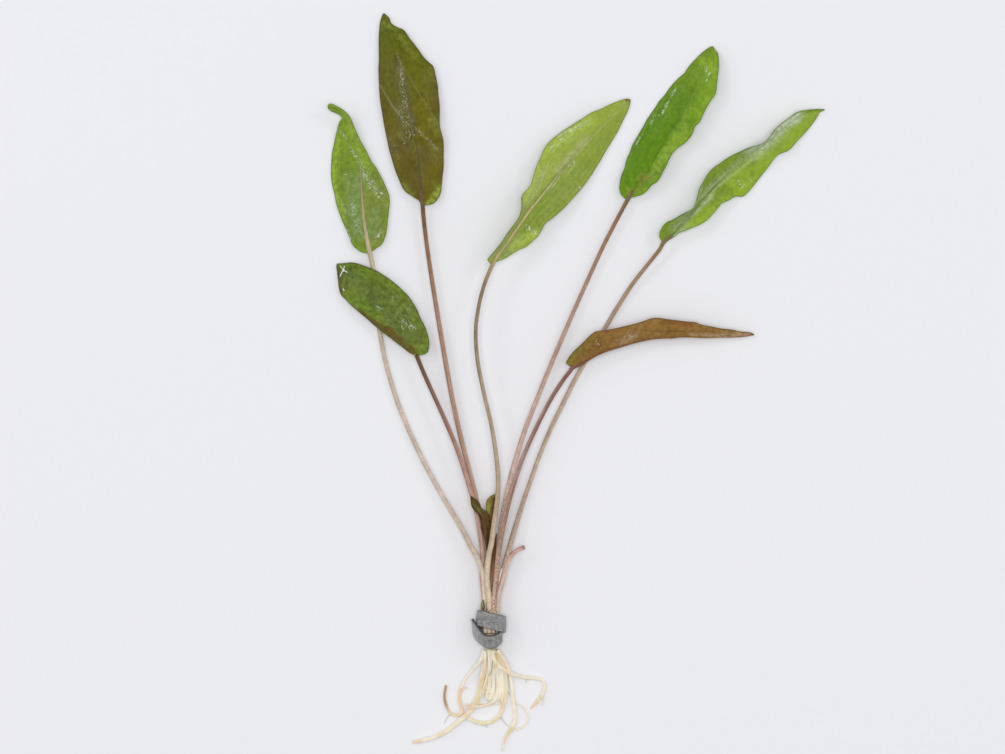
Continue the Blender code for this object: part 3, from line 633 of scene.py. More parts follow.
oliveLeaf = {
    "name": "oliveBlade", "node": "olive_leaf_blade", "slot": "olive_leaf",
    "left": [
        (420.3, 203), (419, 200.5), (417, 199), (412, 196), (406, 192), (402, 187), (399, 180),
        (395, 170), (392, 160), (389, 150), (387, 140), (385, 130), (383, 120), (381.5, 110),
        (380, 100), (379, 90), (378.5, 80), (378.3, 70), (378.8, 60), (378.5, 50), (378.3, 40),
        (379, 30), (380, 21), (382, 15), (383, 13),
    ],
    "right": [
        (423.6, 204.5), (428, 204.5), (433, 203), (437, 199), (440, 193), (441, 185), (442, 175),
        (443, 165), (443, 155), (443, 145), (442, 137), (440, 130), (439, 122), (439, 115),
        (439, 105), (438, 95), (437, 85), (435, 75), (432.5, 66), (428, 62), (423, 57), (418, 50),
        (413, 43), (409, 38), (405, 32), (402, 29), (398, 27.5), (394, 25.5), (390, 22), (389, 18),
        (386, 15), (384.2, 13.3),
    ],
    "midrib": [
        (421.8, 204), (421, 195), (420.5, 190), (419.5, 175), (418, 160), (416, 145), (414, 130),
        (411, 115), (408, 100), (404, 85), (400, 70), (395, 55), (390, 38), (386, 25), (383.6, 13.2),
    ],
    "leftHeights": [3.0, 1.8, 1.35, 1.2, 1.3, 1.4, 1.3, 1.05, 0.5],
    "rightHeights": [3.0, 1.75, 1.8, 2.55, 2.15, 1.6, 1.4, 1.3, 0.6],
    "midribHeights": [3.2, 3.4, 3.5, 3.8, 4.1, 4.1, 3.5, 2.4, 0.6],
    "bulge": 0.09, "ribWidthMm": 0.7, "seed": 3,
    "creases": [
        [(379.5, 84), (384, 92), (388, 100), (393, 108), (398, 114), (404, 121), (410, 128),
         (416, 131), (422, 134), (428, 140), (434, 147), (439, 153)],
        [(396, 60), (402, 68), (408, 76), (414, 84), (420, 95), (427, 106), (434, 117), (440, 129)],
        [(402, 70), (404, 84), (408, 100), (412, 114), (415, 130)],
    ],
    "glints": [
        ([(400, 68), (402, 84), (404, 98), (407, 112), (411, 126)], 1.5, 0.9),
        ([(399, 108), (404, 121), (411, 134)], 2.0, 0.75),
        ([(416, 128), (428, 140), (438, 151)], 1.0, 0.7),
        ([(390, 138), (396, 156)], 2.0, 0.5), ([(402, 134), (412, 150)], 2.4, 0.6),
        ([(396, 52), (401, 64)], 0.5, 0.6), ([(420, 150), (436, 158)], 2.2, 0.4),
    ],
    "sparks": [
        ([(380, 85.5), (384, 92), (388, 99), (392, 105), (397, 112), (402, 119)], 0.12, 0.75),
        ([(430, 142), (434, 146), (438, 151)], 0.12, 0.6),
        ([(416, 129), (424, 136), (431, 142)], 0.1, 0.3),
        ([(407, 75), (413, 84), (419, 94), (426, 105), (432, 115), (439, 126)], 0.1, 0.22),
    ],
    "sheen": [([(398, 66), (403, 90), (408, 120)], 2.6), ([(424, 150), (416, 185)], 2.4)],
    "brown": [
        ([(380, 70), (381, 90), (386, 125), (394, 158)], 1.6, 0.6), ([(435, 84), (437, 110)], 1.6, 0.6),
        ([(441, 150), (440, 178)], 1.8, 0.8), ([(404, 150), (410, 170), (417, 192)], 2.8, 0.7),
        ([(424, 150), (430, 175)], 2.6, 0.6),
    ],
    "bright": [
        ([(397, 34), (404, 42), (414, 55)], 1.2, 0.3), ([(430, 120), (437, 131)], 1.4, 0.35),
        ([(439, 188), (433, 199), (427, 203)], 1.3, 0.9), ([(403, 184), (412, 194)], 0.9, 0.5),
        ([(384, 24), (396, 30)], 1.0, 0.4),
    ],
    "palette": {
        "left": "#645E12", "right": "#6C6610", "light": "#7A7220", "deep": "#564E0C",
        "vein": "#6E6A2C", "margin": "#66601A", "marginAmount": 0.4, "sheen": "#625E2C",
        "bright": "#94A040", "brown": "#644E16", "brownAmount": 0.5, "rib": "#583C1C",
        "rim": "#443C12", "crease": "#84825E", "creaseAmount": 0.12, "tip": "#5A640E",
        "tipAmount": 0.85, "veinAmount": 0.1, "thread": "#C2BEA6", "threadMm": 0.8,
        "toneSpan": (0.83, 1.18),
    },
}

middleLeaf = {
    "name": "middleBlade", "node": "middle_leaf_blade", "slot": "light_green_leaf",
    "left": [
        (490, 264), (488.4, 262), (487, 259.6), (489, 257.4), (495, 250.6), (501, 242.8), (505.8, 236),
        (510.4, 229), (515, 222.6), (518.6, 217.4), (520.8, 210), (521, 203), (521, 197), (524, 192),
        (528, 188), (531, 183), (533, 175), (536, 166), (540, 157), (543, 150), (547, 144),
        (552, 139), (560, 132.5), (570, 126), (580, 119.5), (590, 113), (600, 109), (610, 104),
        (620, 100), (626, 98.3), (629, 98.5),
    ],
    "right": [
        (493, 263), (498, 261), (503, 259), (510, 255), (518, 250), (525, 247), (531, 242),
        (537, 236), (541, 230), (543, 226), (545, 223), (552, 218), (560, 211), (567, 204),
        (573, 197), (580, 189), (587, 180), (593, 171), (599, 161), (605, 151), (611, 141),
        (617, 131), (621, 123), (625, 115), (628, 108), (629.5, 102), (629.7, 99.3),
    ],
    "midrib": [
        (491.5, 263.4), (500, 251), (510, 237), (520, 222.5), (530, 209), (540, 197), (550, 184.5),
        (560, 172), (570, 161), (578, 152), (590, 138.5), (605, 123), (618, 110), (625, 102.5),
        (629.4, 98.8),
    ],
    "leftHeights": [8.2, 12.2, 11.5, 8.1, 5.3, 3.85, 3.1, 2.25, 0.9],
    "rightHeights": [8.0, 6.6, 5.3, 4.2, 2.5, 1.4, 0.85, 0.55, 0.6],
    "midribHeights": [8.0, 7.65, 6.7, 5.65, 4.55, 3.9, 3.4, 2.4, 0.8],
    "bulge": 0.08, "ribWidthMm": 1.6, "seed": 4,
    "creases": [
        [(548, 196), (556, 188), (562, 180), (566, 172)],
        [(557, 139), (566, 133), (575, 128), (586, 121)],
    ],
    "glints": [
        ([(552, 148), (556, 141), (566, 133), (580, 126), (590, 122)], 1.0),
        ([(549, 190), (558, 178), (567, 167), (575, 160)], 0.6), ([(538, 176), (544, 168)], 0.6, 0.5),
        ([(575, 190), (580, 186)], 0.5, 0.8), ([(527, 227), (534, 232)], 1.2),
        ([(622, 102), (626, 106)], 0.5),
        ([(550, 158), (560, 146), (580, 134)], 1.8, 0.45), ([(540, 200), (546, 182)], 1.5, 0.35),
    ],
    "sparks": [
        ([(557, 137), (568, 130), (586, 121)], 0.12, 0.7), ([(568, 173), (574, 163)], 0.12, 0.6),
        ([(547, 192), (556, 181)], 0.12, 0.5), ([(541, 180), (546, 168), (549, 160)], 0.12, 0.45),
        ([(552, 152), (559, 143), (574, 133)], 0.12, 0.45), ([(526, 205), (540, 186)], 0.12, 0.3),
    ],
    "sheen": [([(502, 258), (510, 249), (519, 238)], 1.5, 0.8), ([(545, 215), (580, 175)], 2.6, 0.15),
              ([(556, 170), (586, 138)], 1.2),
              ([(493, 254), (508, 232), (524, 201), (538, 174)], 2.0, 0.9)],
    "brown": [([(627, 99), (629, 100)], 0.8)],
    "bright": [([(545, 150), (565, 136), (590, 120)], 1.8), ([(516, 246), (534, 234)], 1.8),
               ([(524, 200), (538, 168)], 1.0)],
    "palette": {
        "left": "#98A846", "right": "#82943A", "light": "#9CB248", "deep": "#7C9030",
        "tip": "#8FA13B", "tipAmount": 0.8, "vein": "#A2B05A", "margin": "#96A83C",
        "sheen": "#A2AA6C", "bright": "#A6BA4E", "brown": "#70421E", "rib": "#B4AA84",
        "rim": "#64782C", "crease": "#8EA060", "veinAmount": 0.4, "toneSpan": (0.93, 1.1),
        "mottleAmount": 0.35,
    },
}

tallLeaf = {
    "name": "tallBlade", "node": "tall_leaf_blade", "slot": "bright_green_leaf",
    "left": [
        (626, 198.5), (624, 198), (622, 196), (620, 193), (619, 188), (619.5, 182), (621, 175),
        (624, 168), (626, 160), (629, 153), (632, 145), (636, 138), (640, 131), (643, 126),
        (646, 120), (650, 114), (655, 107), (659, 101), (664, 95), (669, 88), (674, 82), (679, 77),
        (684, 73), (687, 68), (693, 61), (700, 54), (706, 49), (710, 46.5), (712, 46),
    ],
    "right": [
        (629, 198), (631, 197), (636, 196), (642, 194), (647, 190), (651, 185), (656, 182),
        (659, 178), (662, 172), (666, 165), (669, 158), (672, 153), (677, 148), (683, 144),
        (688, 139), (692, 133), (694, 127), (698, 123), (700, 120), (702, 115), (705, 109),
        (709, 102), (713, 97), (715, 93), (716, 85), (717, 76), (718, 68), (718, 60), (717, 53),
        (714, 49), (712.6, 46.4),
    ],
    "midrib": [
        (627.5, 198.2), (632, 191), (640, 180.5), (648, 168), (656, 153.5), (665.5, 137),
        (675, 121), (684.5, 104), (693.5, 87), (701, 70.5), (707.5, 56.5), (712.3, 46.2),
    ],
    "leftHeights": [2.4, 2.15, 1.4, 0.85, 0.5, 0.45, 0.6, 0.9, 0.7],
    "rightHeights": [2.4, 4.0, 4.9, 4.45, 5.1, 4.6, 4.7, 3.6, 0.8],
    "midribHeights": [2.4, 2.8, 3.0, 3.2, 3.4, 3.4, 3.3, 2.7, 0.8],
    "bulge": 0.08, "ribWidthMm": 0.6, "grooveShare": 0.4, "seed": 5,
    "creases": [[(634, 147), (644, 132), (655, 116), (665, 103), (675, 88)]],
    "glints": [
        ([(676, 87), (670, 97), (665, 106), (661, 113)], 0.5), ([(654, 115), (651, 121)], 0.6, 0.8),
        ([(643, 133), (638, 139), (635, 145)], 0.6, 0.9), ([(704, 67), (708, 72), (707, 80)], 0.9),
        ([(660, 113), (655, 118)], 0.3),
    ],
    "sparks": [
        ([(675, 89), (671, 96)], 0.12, 0.7), ([(669, 100), (665, 106)], 0.14, 0.8),
        ([(652, 120), (650, 124)], 0.18, 0.8), ([(640, 137), (636, 144)], 0.18, 0.8),
    ],
    "sheen": [([(650, 178), (668, 150), (684, 128)], 1.4, 0.6)],
    "brown": [([(629, 196), (636, 186), (645, 178)], 3.2, 0.5)],
    "bright": [([(652, 168), (672, 140), (692, 108)], 1.2, 0.5), ([(700, 60), (712, 70)], 1.4)],
    "palette": {
        "left": "#5C8412", "right": "#82A02A", "light": "#6E941A", "deep": "#4E7610",
        "sideSpan": (0.0, 1.0), "vein": "#8AA244", "margin": "#74981E", "marginAmount": 0.35,
        "sheen": "#86A040", "bright": "#8CA834", "brown": "#8E8A38", "rib": "#7A722E",
        "rim": "#3E5E14", "crease": "#557A1C", "tip": "#86A034", "tipAmount": 0.5,
        "veinAmount": 0.12, "mottleAmount": 0.2, "toneSpan": (0.88, 1.15),
    },
}

wavyLeaf = {
    "name": "wavyBlade", "node": "wavy_leaf_blade", "slot": "light_green_leaf",
    "left": [
        (661, 241), (660, 239.6), (658.6, 236.6), (658.8, 232.6), (661, 227.6), (665, 222.8),
        (672, 219.8), (679, 215.8), (685, 212.6), (691, 209.6), (693.4, 206.6), (695.4, 200.6),
        (696.4, 195.6), (698.2, 188.8), (702.2, 181.8), (706.2, 174.8), (711, 169), (718, 164),
        (725, 159), (732, 155), (739, 152), (745.6, 149), (751.6, 147), (758.6, 145), (765, 141.4),
        (768.4, 137.4), (772, 131.8), (777.4, 126.2), (782.6, 122), (789, 117.4), (794, 113.4),
        (800, 111), (806.6, 109.8), (815, 109), (821, 108.8), (823.6, 109),
    ],
    "right": [
        (664, 241), (668, 240), (673, 237), (678, 233), (686, 230), (693, 227), (700, 224),
        (706, 220), (712, 214), (717, 208), (721, 203), (728, 200), (735, 196), (742, 196),
        (747, 192), (753, 185), (760, 176), (767, 167), (773, 159), (778, 154), (786, 151),
        (790, 148), (796, 141), (802, 135), (809, 127), (815, 119), (819, 112), (822, 110.5),
        (823.7, 109.6),
    ],
    "midrib": [
        (662.5, 241.2), (672, 234.5), (680, 226.5), (690, 214), (697, 205.5), (704.5, 197.5),
        (714, 186.5), (724.5, 176), (736.5, 165.5), (749, 155), (762.5, 145), (774, 136),
        (787, 124.5), (800, 115.5), (813, 110.4), (823.9, 109.2),
    ],
    "leftHeights": [4.0, 6.1, 8.2, 9.1, 6.9, 5.5, 5.8, 7.3, 9.0, 7.8, 6.1, 3.8, 1.0],
    "rightHeights": [4.0, 4.5, 5.2, 4.0, 3.0, 1.3, 0.75, 0.8, 1.7, 2.1, 1.1, 0.65, 0.6],
    "midribHeights": [4.0, 4.0, 3.9, 3.8, 3.8, 3.8, 3.8, 3.9, 4.1, 4.2, 4.0, 3.0, 0.9],
    "bulge": 0.06, "ribWidthMm": 0.8, "seed": 6,
    "creases": [
        [(676, 231), (689, 216), (701, 203), (715, 188.5), (729, 177), (745, 164), (760, 152),
         (772, 142)],
        [(673, 229.5), (685, 215), (697, 200.5), (711, 186), (725, 173.5), (741, 160.5), (756, 149.5)],
    ],
    "glints": [
        ([(737, 181), (741, 186), (745, 184)], 0.9), ([(748, 178), (752, 182)], 0.5, 0.7),
        ([(792, 116), (806, 112)], 0.5, 0.5), ([(716, 200), (722, 196)], 0.6, 0.4),
    ],
    "sheen": [
        ([(672, 228), (682, 215), (691, 203)], 1.4, 0.28), ([(684, 222), (710, 196)], 1.0, 0.7),
        ([(700, 196), (716, 181), (734, 166), (752, 152)], 1.2, 0.3),
        ([(695, 198), (699, 188)], 1.0, 0.4),
        ([(755, 148), (764, 141), (773, 133), (782, 124.6), (795, 116.4)], 2.3, 1.2),
        ([(752, 149), (763, 141), (775, 132)], 3.2, 0.8), ([(673, 236), (690, 224)], 1.4, 0.45),
    ],
    "bright": [([(690, 226), (712, 210), (726, 198)], 1.6), ([(738, 190), (756, 174), (776, 152)], 1.6),
               ([(785, 142), (806, 122)], 1.6)],
    "palette": {
        "left": "#728C26", "right": "#8CA630", "light": "#94AE3A", "deep": "#688222",
        "vein": "#A0B25E", "margin": "#88A230", "marginAmount": 0.35, "sheen": "#C0C8AA",
        "mottleAmount": 0.3, "toneSpan": (0.92, 1.1), "bright": "#90AC30", "brown": "#7A6A30",
        "rib": "#5C7434", "rim": "#587420", "crease": "#AEBA92", "creaseAmount": 0.7,
    },
}

foldedLeaf = {
    "name": "foldedBlade", "node": "folded_leaf_blade", "slot": "brown_leaf",
    "left": [
        (572, 365.6), (569, 365), (565.4, 363.2), (565.6, 361.4), (569, 355.6), (574, 350),
        (579, 345.4), (583.6, 340.6), (588.6, 335.6), (593.8, 331.6), (597, 330.4), (602, 330.2),
        (610, 328.8), (620, 326.8), (630, 324.4), (640, 321.6), (645, 319.8), (650, 318),
        (657, 317.4), (665, 318.6), (675, 319.8), (685, 321), (695, 322), (700, 324), (710, 326),
        (720, 328), (730, 329), (740, 331), (750, 332), (753.3, 333.7),
    ],
    "right": [
        (570, 365.5), (567.5, 364), (571, 356.5), (582, 345.5), (596, 334), (615, 331), (635, 326),
        (656, 320), (678, 322), (699, 328), (718, 332.5), (737, 334.5), (753, 334.6),
    ],
    "midrib": [
        (572.5, 366.2), (575, 365.5), (579, 364), (585, 361), (592, 357), (600, 353), (610, 349.5),
        (620, 346.5), (630, 343.5), (640, 341), (650, 339), (660, 338), (670, 338), (680, 337),
        (690, 337), (700, 337.5), (710, 337.5), (720, 337), (730, 337), (740, 336.5), (748, 335.5),
        (753.5, 334.1),
    ],
    "leftHeights": [5.8, 7.5, 8.5, 8.5, 8.1, 7.2, 6.0, 3.9, 1.4],
    "rightHeights": [4.6, 3.6, 3.25, 3.0, 2.4, 1.5, 0.9, 0.55, 0.7],
    "midribHeights": [5.2, 5.0, 5.0, 5.0, 4.8, 4.4, 3.5, 2.4, 1.1],
    "bulge": 0.10, "ribWidthMm": 0.55, "seed": 7,
    "creases": [[(640, 331), (670, 331), (700, 331), (725, 333)]],
    "glints": [([(595, 337), (598, 345)], 0.7, 0.8), ([(622, 340), (632, 334)], 1.2, 0.6)],
    "sheen": [([(620, 341), (634, 334)], 1.4, 0.5), ([(690, 334), (735, 336)], 0.6, 0.7),
              ([(722, 333), (748, 334.4)], 0.8, 0.8)],
    "brown": [
        ([(665, 320), (690, 324)], 1.2, 0.7), ([(600, 330), (618, 330)], 1.0, 0.7),
        ([(585, 360), (600, 352), (620, 346), (660, 337.5)], 0.5), ([(660, 337), (690, 336)], 0.5, 0.7),
    ],
    "bright": [([(568, 362), (572, 354), (578, 349)], 1.6, 0.9), ([(584, 344), (592, 338)], 1.2, 0.4)],
    "palette": {
        "left": "#8C6A34", "right": "#876434", "light": "#9A7A44", "deep": "#7C5C28",
        "vein": "#927A46", "margin": "#8A6C38", "marginAmount": 0.35, "sheen": "#B2967A",
        "bright": "#7E7430", "brown": "#8A582E", "rib": "#8C5038", "rim": "#583E1C",
        "crease": "#785832", "veinAmount": 0.15, "toneSpan": (0.8, 1.18),
    },
}

outerYoungLeaf = {
    "name": "outerYoungBlade", "node": "outer_young_leaf", "slot": "dark_green_leaf",
    "left": [
        (486, 550), (485, 543), (483.4, 535), (481, 528), (480, 520), (478, 514), (474, 510),
        (471, 505), (470, 498), (470, 495.6),
    ],
    "right": [
        (486.9, 550), (487.8, 541), (488.6, 530), (489.4, 520), (488.4, 514), (485, 510), (481, 507),
        (479, 502), (475, 498), (471, 495.4),
    ],
    "midrib": [(486.4, 550), (486.3, 541), (485.6, 531), (484.4, 520), (482.4, 514), (478.5, 509),
               (474.5, 503), (470.5, 495.3)],
    "leftHeights": [6.0, 6.1, 6.3, 6.9, 7.4, 7.8, 8.0],
    "rightHeights": [6.0, 6.1, 6.2, 6.4, 6.8, 7.3, 7.9],
    "midribHeights": [6.4, 6.5, 6.7, 6.9, 7.2, 7.7, 8.0],
    "bulge": 0.05, "ribWidthMm": 0.4, "seed": 8,
    "creases": [
        [(472, 497.5), (479, 507), (484.6, 515), (486.4, 526), (487, 548)],
        [(476, 509), (482, 519), (484.4, 548)],
    ],
    "brown": [([(484, 518), (486, 548)], 2.0)], "bright": [([(476, 505), (483, 512)], 0.8)],
    "palette": {
        "left": "#744E32", "right": "#785434", "light": "#82603C", "deep": "#50341C",
        "tip": "#5E5422", "tipAmount": 0.95, "vein": "#6A6234", "margin": "#4A4016",
        "sheen": "#66603C", "bright": "#6E6C2C", "brown": "#6E4A2C", "rib": "#5E4426",
        "rim": "#3A2810", "crease": "#3A2612", "creaseAmount": 0.7, "toneSpan": (0.74, 1.26),
    },
}

innerYoungLeaf = {
    "name": "innerYoungBlade", "node": "inner_young_leaf", "slot": "dark_green_leaf",
    "left": [(487.6, 548), (487.2, 536), (486.3, 523), (485.8, 511), (485.4, 505), (486.2, 500),
             (490, 495.4), (494.4, 493.2)],
    "right": [(490.6, 548), (491.8, 536), (493, 523), (494.4, 511), (495.6, 503), (496.2, 497),
              (495.6, 493.5)],
    "midrib": [(489.2, 548), (489.6, 536), (490, 523), (490.5, 511), (491.5, 502), (493.5, 497),
               (495, 493.3)],
    "leftHeights": [4.8, 5.0, 5.2, 5.4, 5.8, 6.1, 6.3],
    "rightHeights": [4.8, 5.1, 5.4, 5.8, 6.0, 6.2, 6.3],
    "midribHeights": [4.9, 5.2, 5.6, 5.9, 6.1, 6.2, 6.3],
    "bulge": 0.05, "ribWidthMm": 0.4, "seed": 9,
    "creases": [[(495, 495), (493, 505), (491.4, 522), (490, 548)]],
    "brown": [([(494, 498), (492, 515), (490, 545)], 1.0)], "bright": [([(488, 503), (489, 515)], 0.9)],
    "palette": {
        "left": "#9A8C40", "right": "#82602C", "light": "#A49A50", "deep": "#705A28",
        "vein": "#8C8A4C", "margin": "#6E6426", "sheen": "#6C6C44", "bright": "#8E8C40",
        "brown": "#5C3A1C", "rib": "#6A5A2E", "rim": "#4A3A14", "crease": "#4A2E14",
        "creaseAmount": 0.6, "toneSpan": (0.8, 1.2),
    },
}

bladeBuild = {
    "grid": (170, 84),              # rows along, columns across
    "youngGrid": (60, 28),
    "crowding": 1.12,               # draws the columns towards the midrib
    "thicknessMm": 0.34,
    "archPower": 0.8,               # a blade's arch is steepest beside its midrib
    "tipRollSpan": (0.8, 0.97),     # the part of the length where a rolled tip sets in
    "veinPlaces": (0.24, 0.47, 0.70, 0.88),   # how far out the arching veins run, 1 is the margin
    "veinSpread": 0.22,             # by then the veins have reached their places
    "veinHalfWidthMm": 0.2,
    "veinDepthMm": 0.07,
    "crossVeinStepMm": 2.6,
    "crossVeinHalfWidthMm": 0.22,
    "crossVeinSlant": 0.9,
    "crossVeinShare": 0.35,
    "creaseHalfWidthMm": 0.28,
    "creaseDepthMm": 0.14,
    "grooveHalfWidthMm": 0.55,
    "grooveDepthMm": 0.3,
    "swellMm": 0.2,                 # soft uneven swell of the blade between its veins
    "swellPerMetre": 190.0,
    "rippleMm": 0.06,
    "ripplePerMetre": 620.0,
    "youngRelief": 0.35,            # how much of the relief a young leaf has
    "calmWidthMm": 2.0,             # the relief dies out where the blade is narrower
    "veinlessEdgeMm": (0.15, 0.6),  # the veins set in this far from the margin
    "ribHalfShare": 0.4,            # half the midrib, as a share of its given width
    "ribNarrowing": 0.55,           # how much narrower it is at the tip
    "ribLeastMm": 0.05,
    "ribPaint": (0.75, 0.45),       # how strongly its colour shows at the base, and how much that fades
    "grooveFade": 0.75,
}


def bladeLines(leaf, rows):
    # the left edge, midrib and right edge, each evenly divided from base to tip
    steps = np.linspace(0, 1, rows)
    lines = []
    for side in ("left", "midrib", "right"):
        flat = evenLine(leaf[side], rows)
        heights = evenlySpread(leaf[side + "Heights"], steps)
        lines.append(np.array([place(x, y, height) for (x, y), height in zip(flat, heights)]))
    return lines


def veinMask(flatAlong, flatAcross, widthMm, lengthMm):
    # arching veins leave the midrib near the base, slanting cross veins tie them together
    vein = np.zeros(flatAlong.shape)
    opening = softStep(0.0, bladeBuild["veinSpread"], flatAlong)
    for veinPlace in bladeBuild["veinPlaces"]:
        gapMm = np.abs(np.abs(flatAcross) - veinPlace * opening) * widthMm
        vein = np.maximum(vein, np.exp(-(gapMm / bladeBuild["veinHalfWidthMm"]) ** 2))
    slantMm = flatAlong * lengthMm + bladeBuild["crossVeinSlant"] * np.abs(flatAcross) * widthMm
    phase = (slantMm / bladeBuild["crossVeinStepMm"]) % 1.0
    offMm = (phase - 0.5) * bladeBuild["crossVeinStepMm"]
    crossVein = np.exp(-(offMm / bladeBuild["crossVeinHalfWidthMm"]) ** 2)
    return np.maximum(vein, bladeBuild["crossVeinShare"] * crossVein)


def buildBlade(leaf, young=False):
    rows, columns = bladeBuild["youngGrid" if young else "grid"]
    left, midrib, right = bladeLines(leaf, rows)
    along = np.linspace(0, 1, rows)
    even = np.linspace(-1, 1, columns)
    across = np.sign(even) * np.abs(even) ** bladeBuild["crowding"]
    grid = np.zeros((rows, columns, 3))
    widthMm = np.zeros((rows, columns))
    rolling = leaf.get("tipRoll", 0.0) / leaf["bulge"] * softStep(*bladeBuild["tipRollSpan"], along)
    for c, v in enumerate(across):
        half = (left if v < 0 else right) - midrib
        width = np.linalg.norm(half, axis=1)
        arch = math.sin(math.pi * abs(v) ** bladeBuild["archPower"])
        grid[:, c] = midrib + half * abs(v)
        grid[:, c, 2] += leaf["bulge"] * (1 + rolling) * width * arch
        widthMm[:, c] = width / mm
    flatAlong = np.repeat(along[:, None], columns, axis=1)
    flatAcross = np.repeat(across[None, :], rows, axis=0)
    ribMm = np.abs(flatAcross) * widthMm
    edgeMm = (1 - np.abs(flatAcross)) * widthMm
    normal = unit(np.cross(np.gradient(grid, axis=1), np.gradient(grid, axis=0)))

    lengthMm = lengthKnots(midrib)[-1] / mm
    vein = veinMask(flatAlong, flatAcross, widthMm, lengthMm)
    vein *= softStep(*bladeBuild["veinlessEdgeMm"], edgeMm)
    spots = grid.reshape(-1, 3)[:, :2]
    strokes = {key: leaf.get(key, []) for key in ("glints", "sparks", "sheen", "brown", "bright")}
    strokes["crease"] = [(line, bladeBuild["creaseHalfWidthMm"]) for line in leaf["creases"]]
    masks = {key: strokeMask(spots, marks).reshape(rows, columns) for key, marks in strokes.items()}

    # the midrib narrows and its groove fades towards the tip
    narrowing = 1 - bladeBuild["ribNarrowing"] * flatAlong
    ribHalfMm = bladeBuild["ribHalfShare"] * leaf["ribWidthMm"] * narrowing
    ribHalfMm = np.maximum(ribHalfMm, bladeBuild["ribLeastMm"])
    paint, paintFade = bladeBuild["ribPaint"]
    rib = np.exp(-(ribMm / ribHalfMm) ** 2) * (paint - paintFade * flatAlong)
    groove = np.exp(-(ribMm / bladeBuild["grooveHalfWidthMm"]) ** 2)
    groove *= 1 - bladeBuild["grooveFade"] * flatAlong
    calm = softStep(0.0, bladeBuild["calmWidthMm"], widthMm)
    if young:
        calm *= bladeBuild["youngRelief"]
    reliefMm = calm * (
        noiseAt(grid, bladeBuild["swellPerMetre"], leaf["seed"]) * bladeBuild["swellMm"]
        + noiseAt(grid, bladeBuild["ripplePerMetre"], leaf["seed"] + 20) * bladeBuild["rippleMm"]
        - vein * bladeBuild["veinDepthMm"]
        - groove * leaf.get("grooveShare", 1.0) * bladeBuild["grooveDepthMm"]
        - masks["crease"] * bladeBuild["creaseDepthMm"]
    )
    grid += normal * (reliefMm * mm)[..., None]
    grid[..., 2] = np.maximum(grid[..., 2], 0.5 * bladeBuild["thicknessMm"] * mm)
    masks |= {"along": flatAlong, "across": flatAcross, "edgeMm": edgeMm, "vein": vein * calm, "rib": rib}
    piece = meshFromGrid(leaf["name"], grid, masks)
    thicken(piece, bladeBuild["thicknessMm"])
    material = leafMaterial(leaf["name"] + "WetLeaf", leaf["palette"])
    finishPiece(piece, material, [leaf["node"]])


for leaf in (leftLeaf, smallLeaf, oliveLeaf, middleLeaf, tallLeaf, wavyLeaf, foldedLeaf):
    buildBlade(leaf)
for leaf in (outerYoungLeaf, innerYoungLeaf):
    buildBlade(leaf, young=True)
print("blades done")


# Stalks: up through the ring of bases under the strip, then free, then on along the midrib

bundle = {
    "x": 490.2,
    "heightMm": 4.4,
    "levels": ((632, 2.0), (619, 2.2), (597, 2.35)),   # from the crown up: picture Y, ring radius in mm
}


def baseInBundle(angleDegrees=None):
    # up through the ring at this angle, where 0 is its right side and 90 its top, or through its middle
    outward = np.zeros(3)
    if angleDegrees is not None:
        angle = math.radians(angleDegrees)
        outward = np.array([math.cos(angle), 0, math.sin(angle)])
    return [
        place(bundle["x"], y, bundle["heightMm"]) + ringMm * mm * outward for y, ringMm in bundle["levels"]
    ]


tubeRelief = {
    "knobsPerMetre": 420.0,
    "readAtMm": 1.0,        # how far from a tube's middle line its knobs are read
}


def buildTube(name, route, radii, sides, roughen, seed, ribs=0, ribDepth=0.0, brown=0.0):
    # a tube along route: radii in mm at even steps, knobbly by roughen, its ribs running lengthwise
    length = lengthKnots(route)
    along = length / length[-1]
    run = unit(np.gradient(route, axis=0))
    sideWay = unit(np.cross(run, [0.0, 0.0, 1.0]))
    topWay = np.cross(sideWay, run)
    radius = evenlySpread(radii, along) * mm
    angles = np.arange(sides) * 2 * math.pi / sides
    grid = np.zeros((len(route), sides, 3))
    for column, angle in enumerate(angles):
        outward = sideWay * math.sin(angle) + topWay * math.cos(angle)
        readAt = route + outward * tubeRelief["readAtMm"] * mm
        knobs = 1 + roughen * noiseAt(readAt, tubeRelief["knobsPerMetre"], seed)
        reach = radius * (1 + ribDepth * math.cos(ribs * angle)) * knobs
        grid[:, column] = route + outward * reach[:, None]
    masks = {
        "along": along[:, None],
        "skinX": np.sin(angles),
        "skinY": np.cos(angles),
        "skinZ": length[:, None] / mm / stalkSkin["streakStretch"],
        "flank": np.abs(np.sin(angles)),
        "brown": brown,
    }
    masks = {key: np.broadcast_to(values, grid.shape[:2]) for key, values in masks.items()}
    return meshFromGrid(name, grid, masks, tube=True)


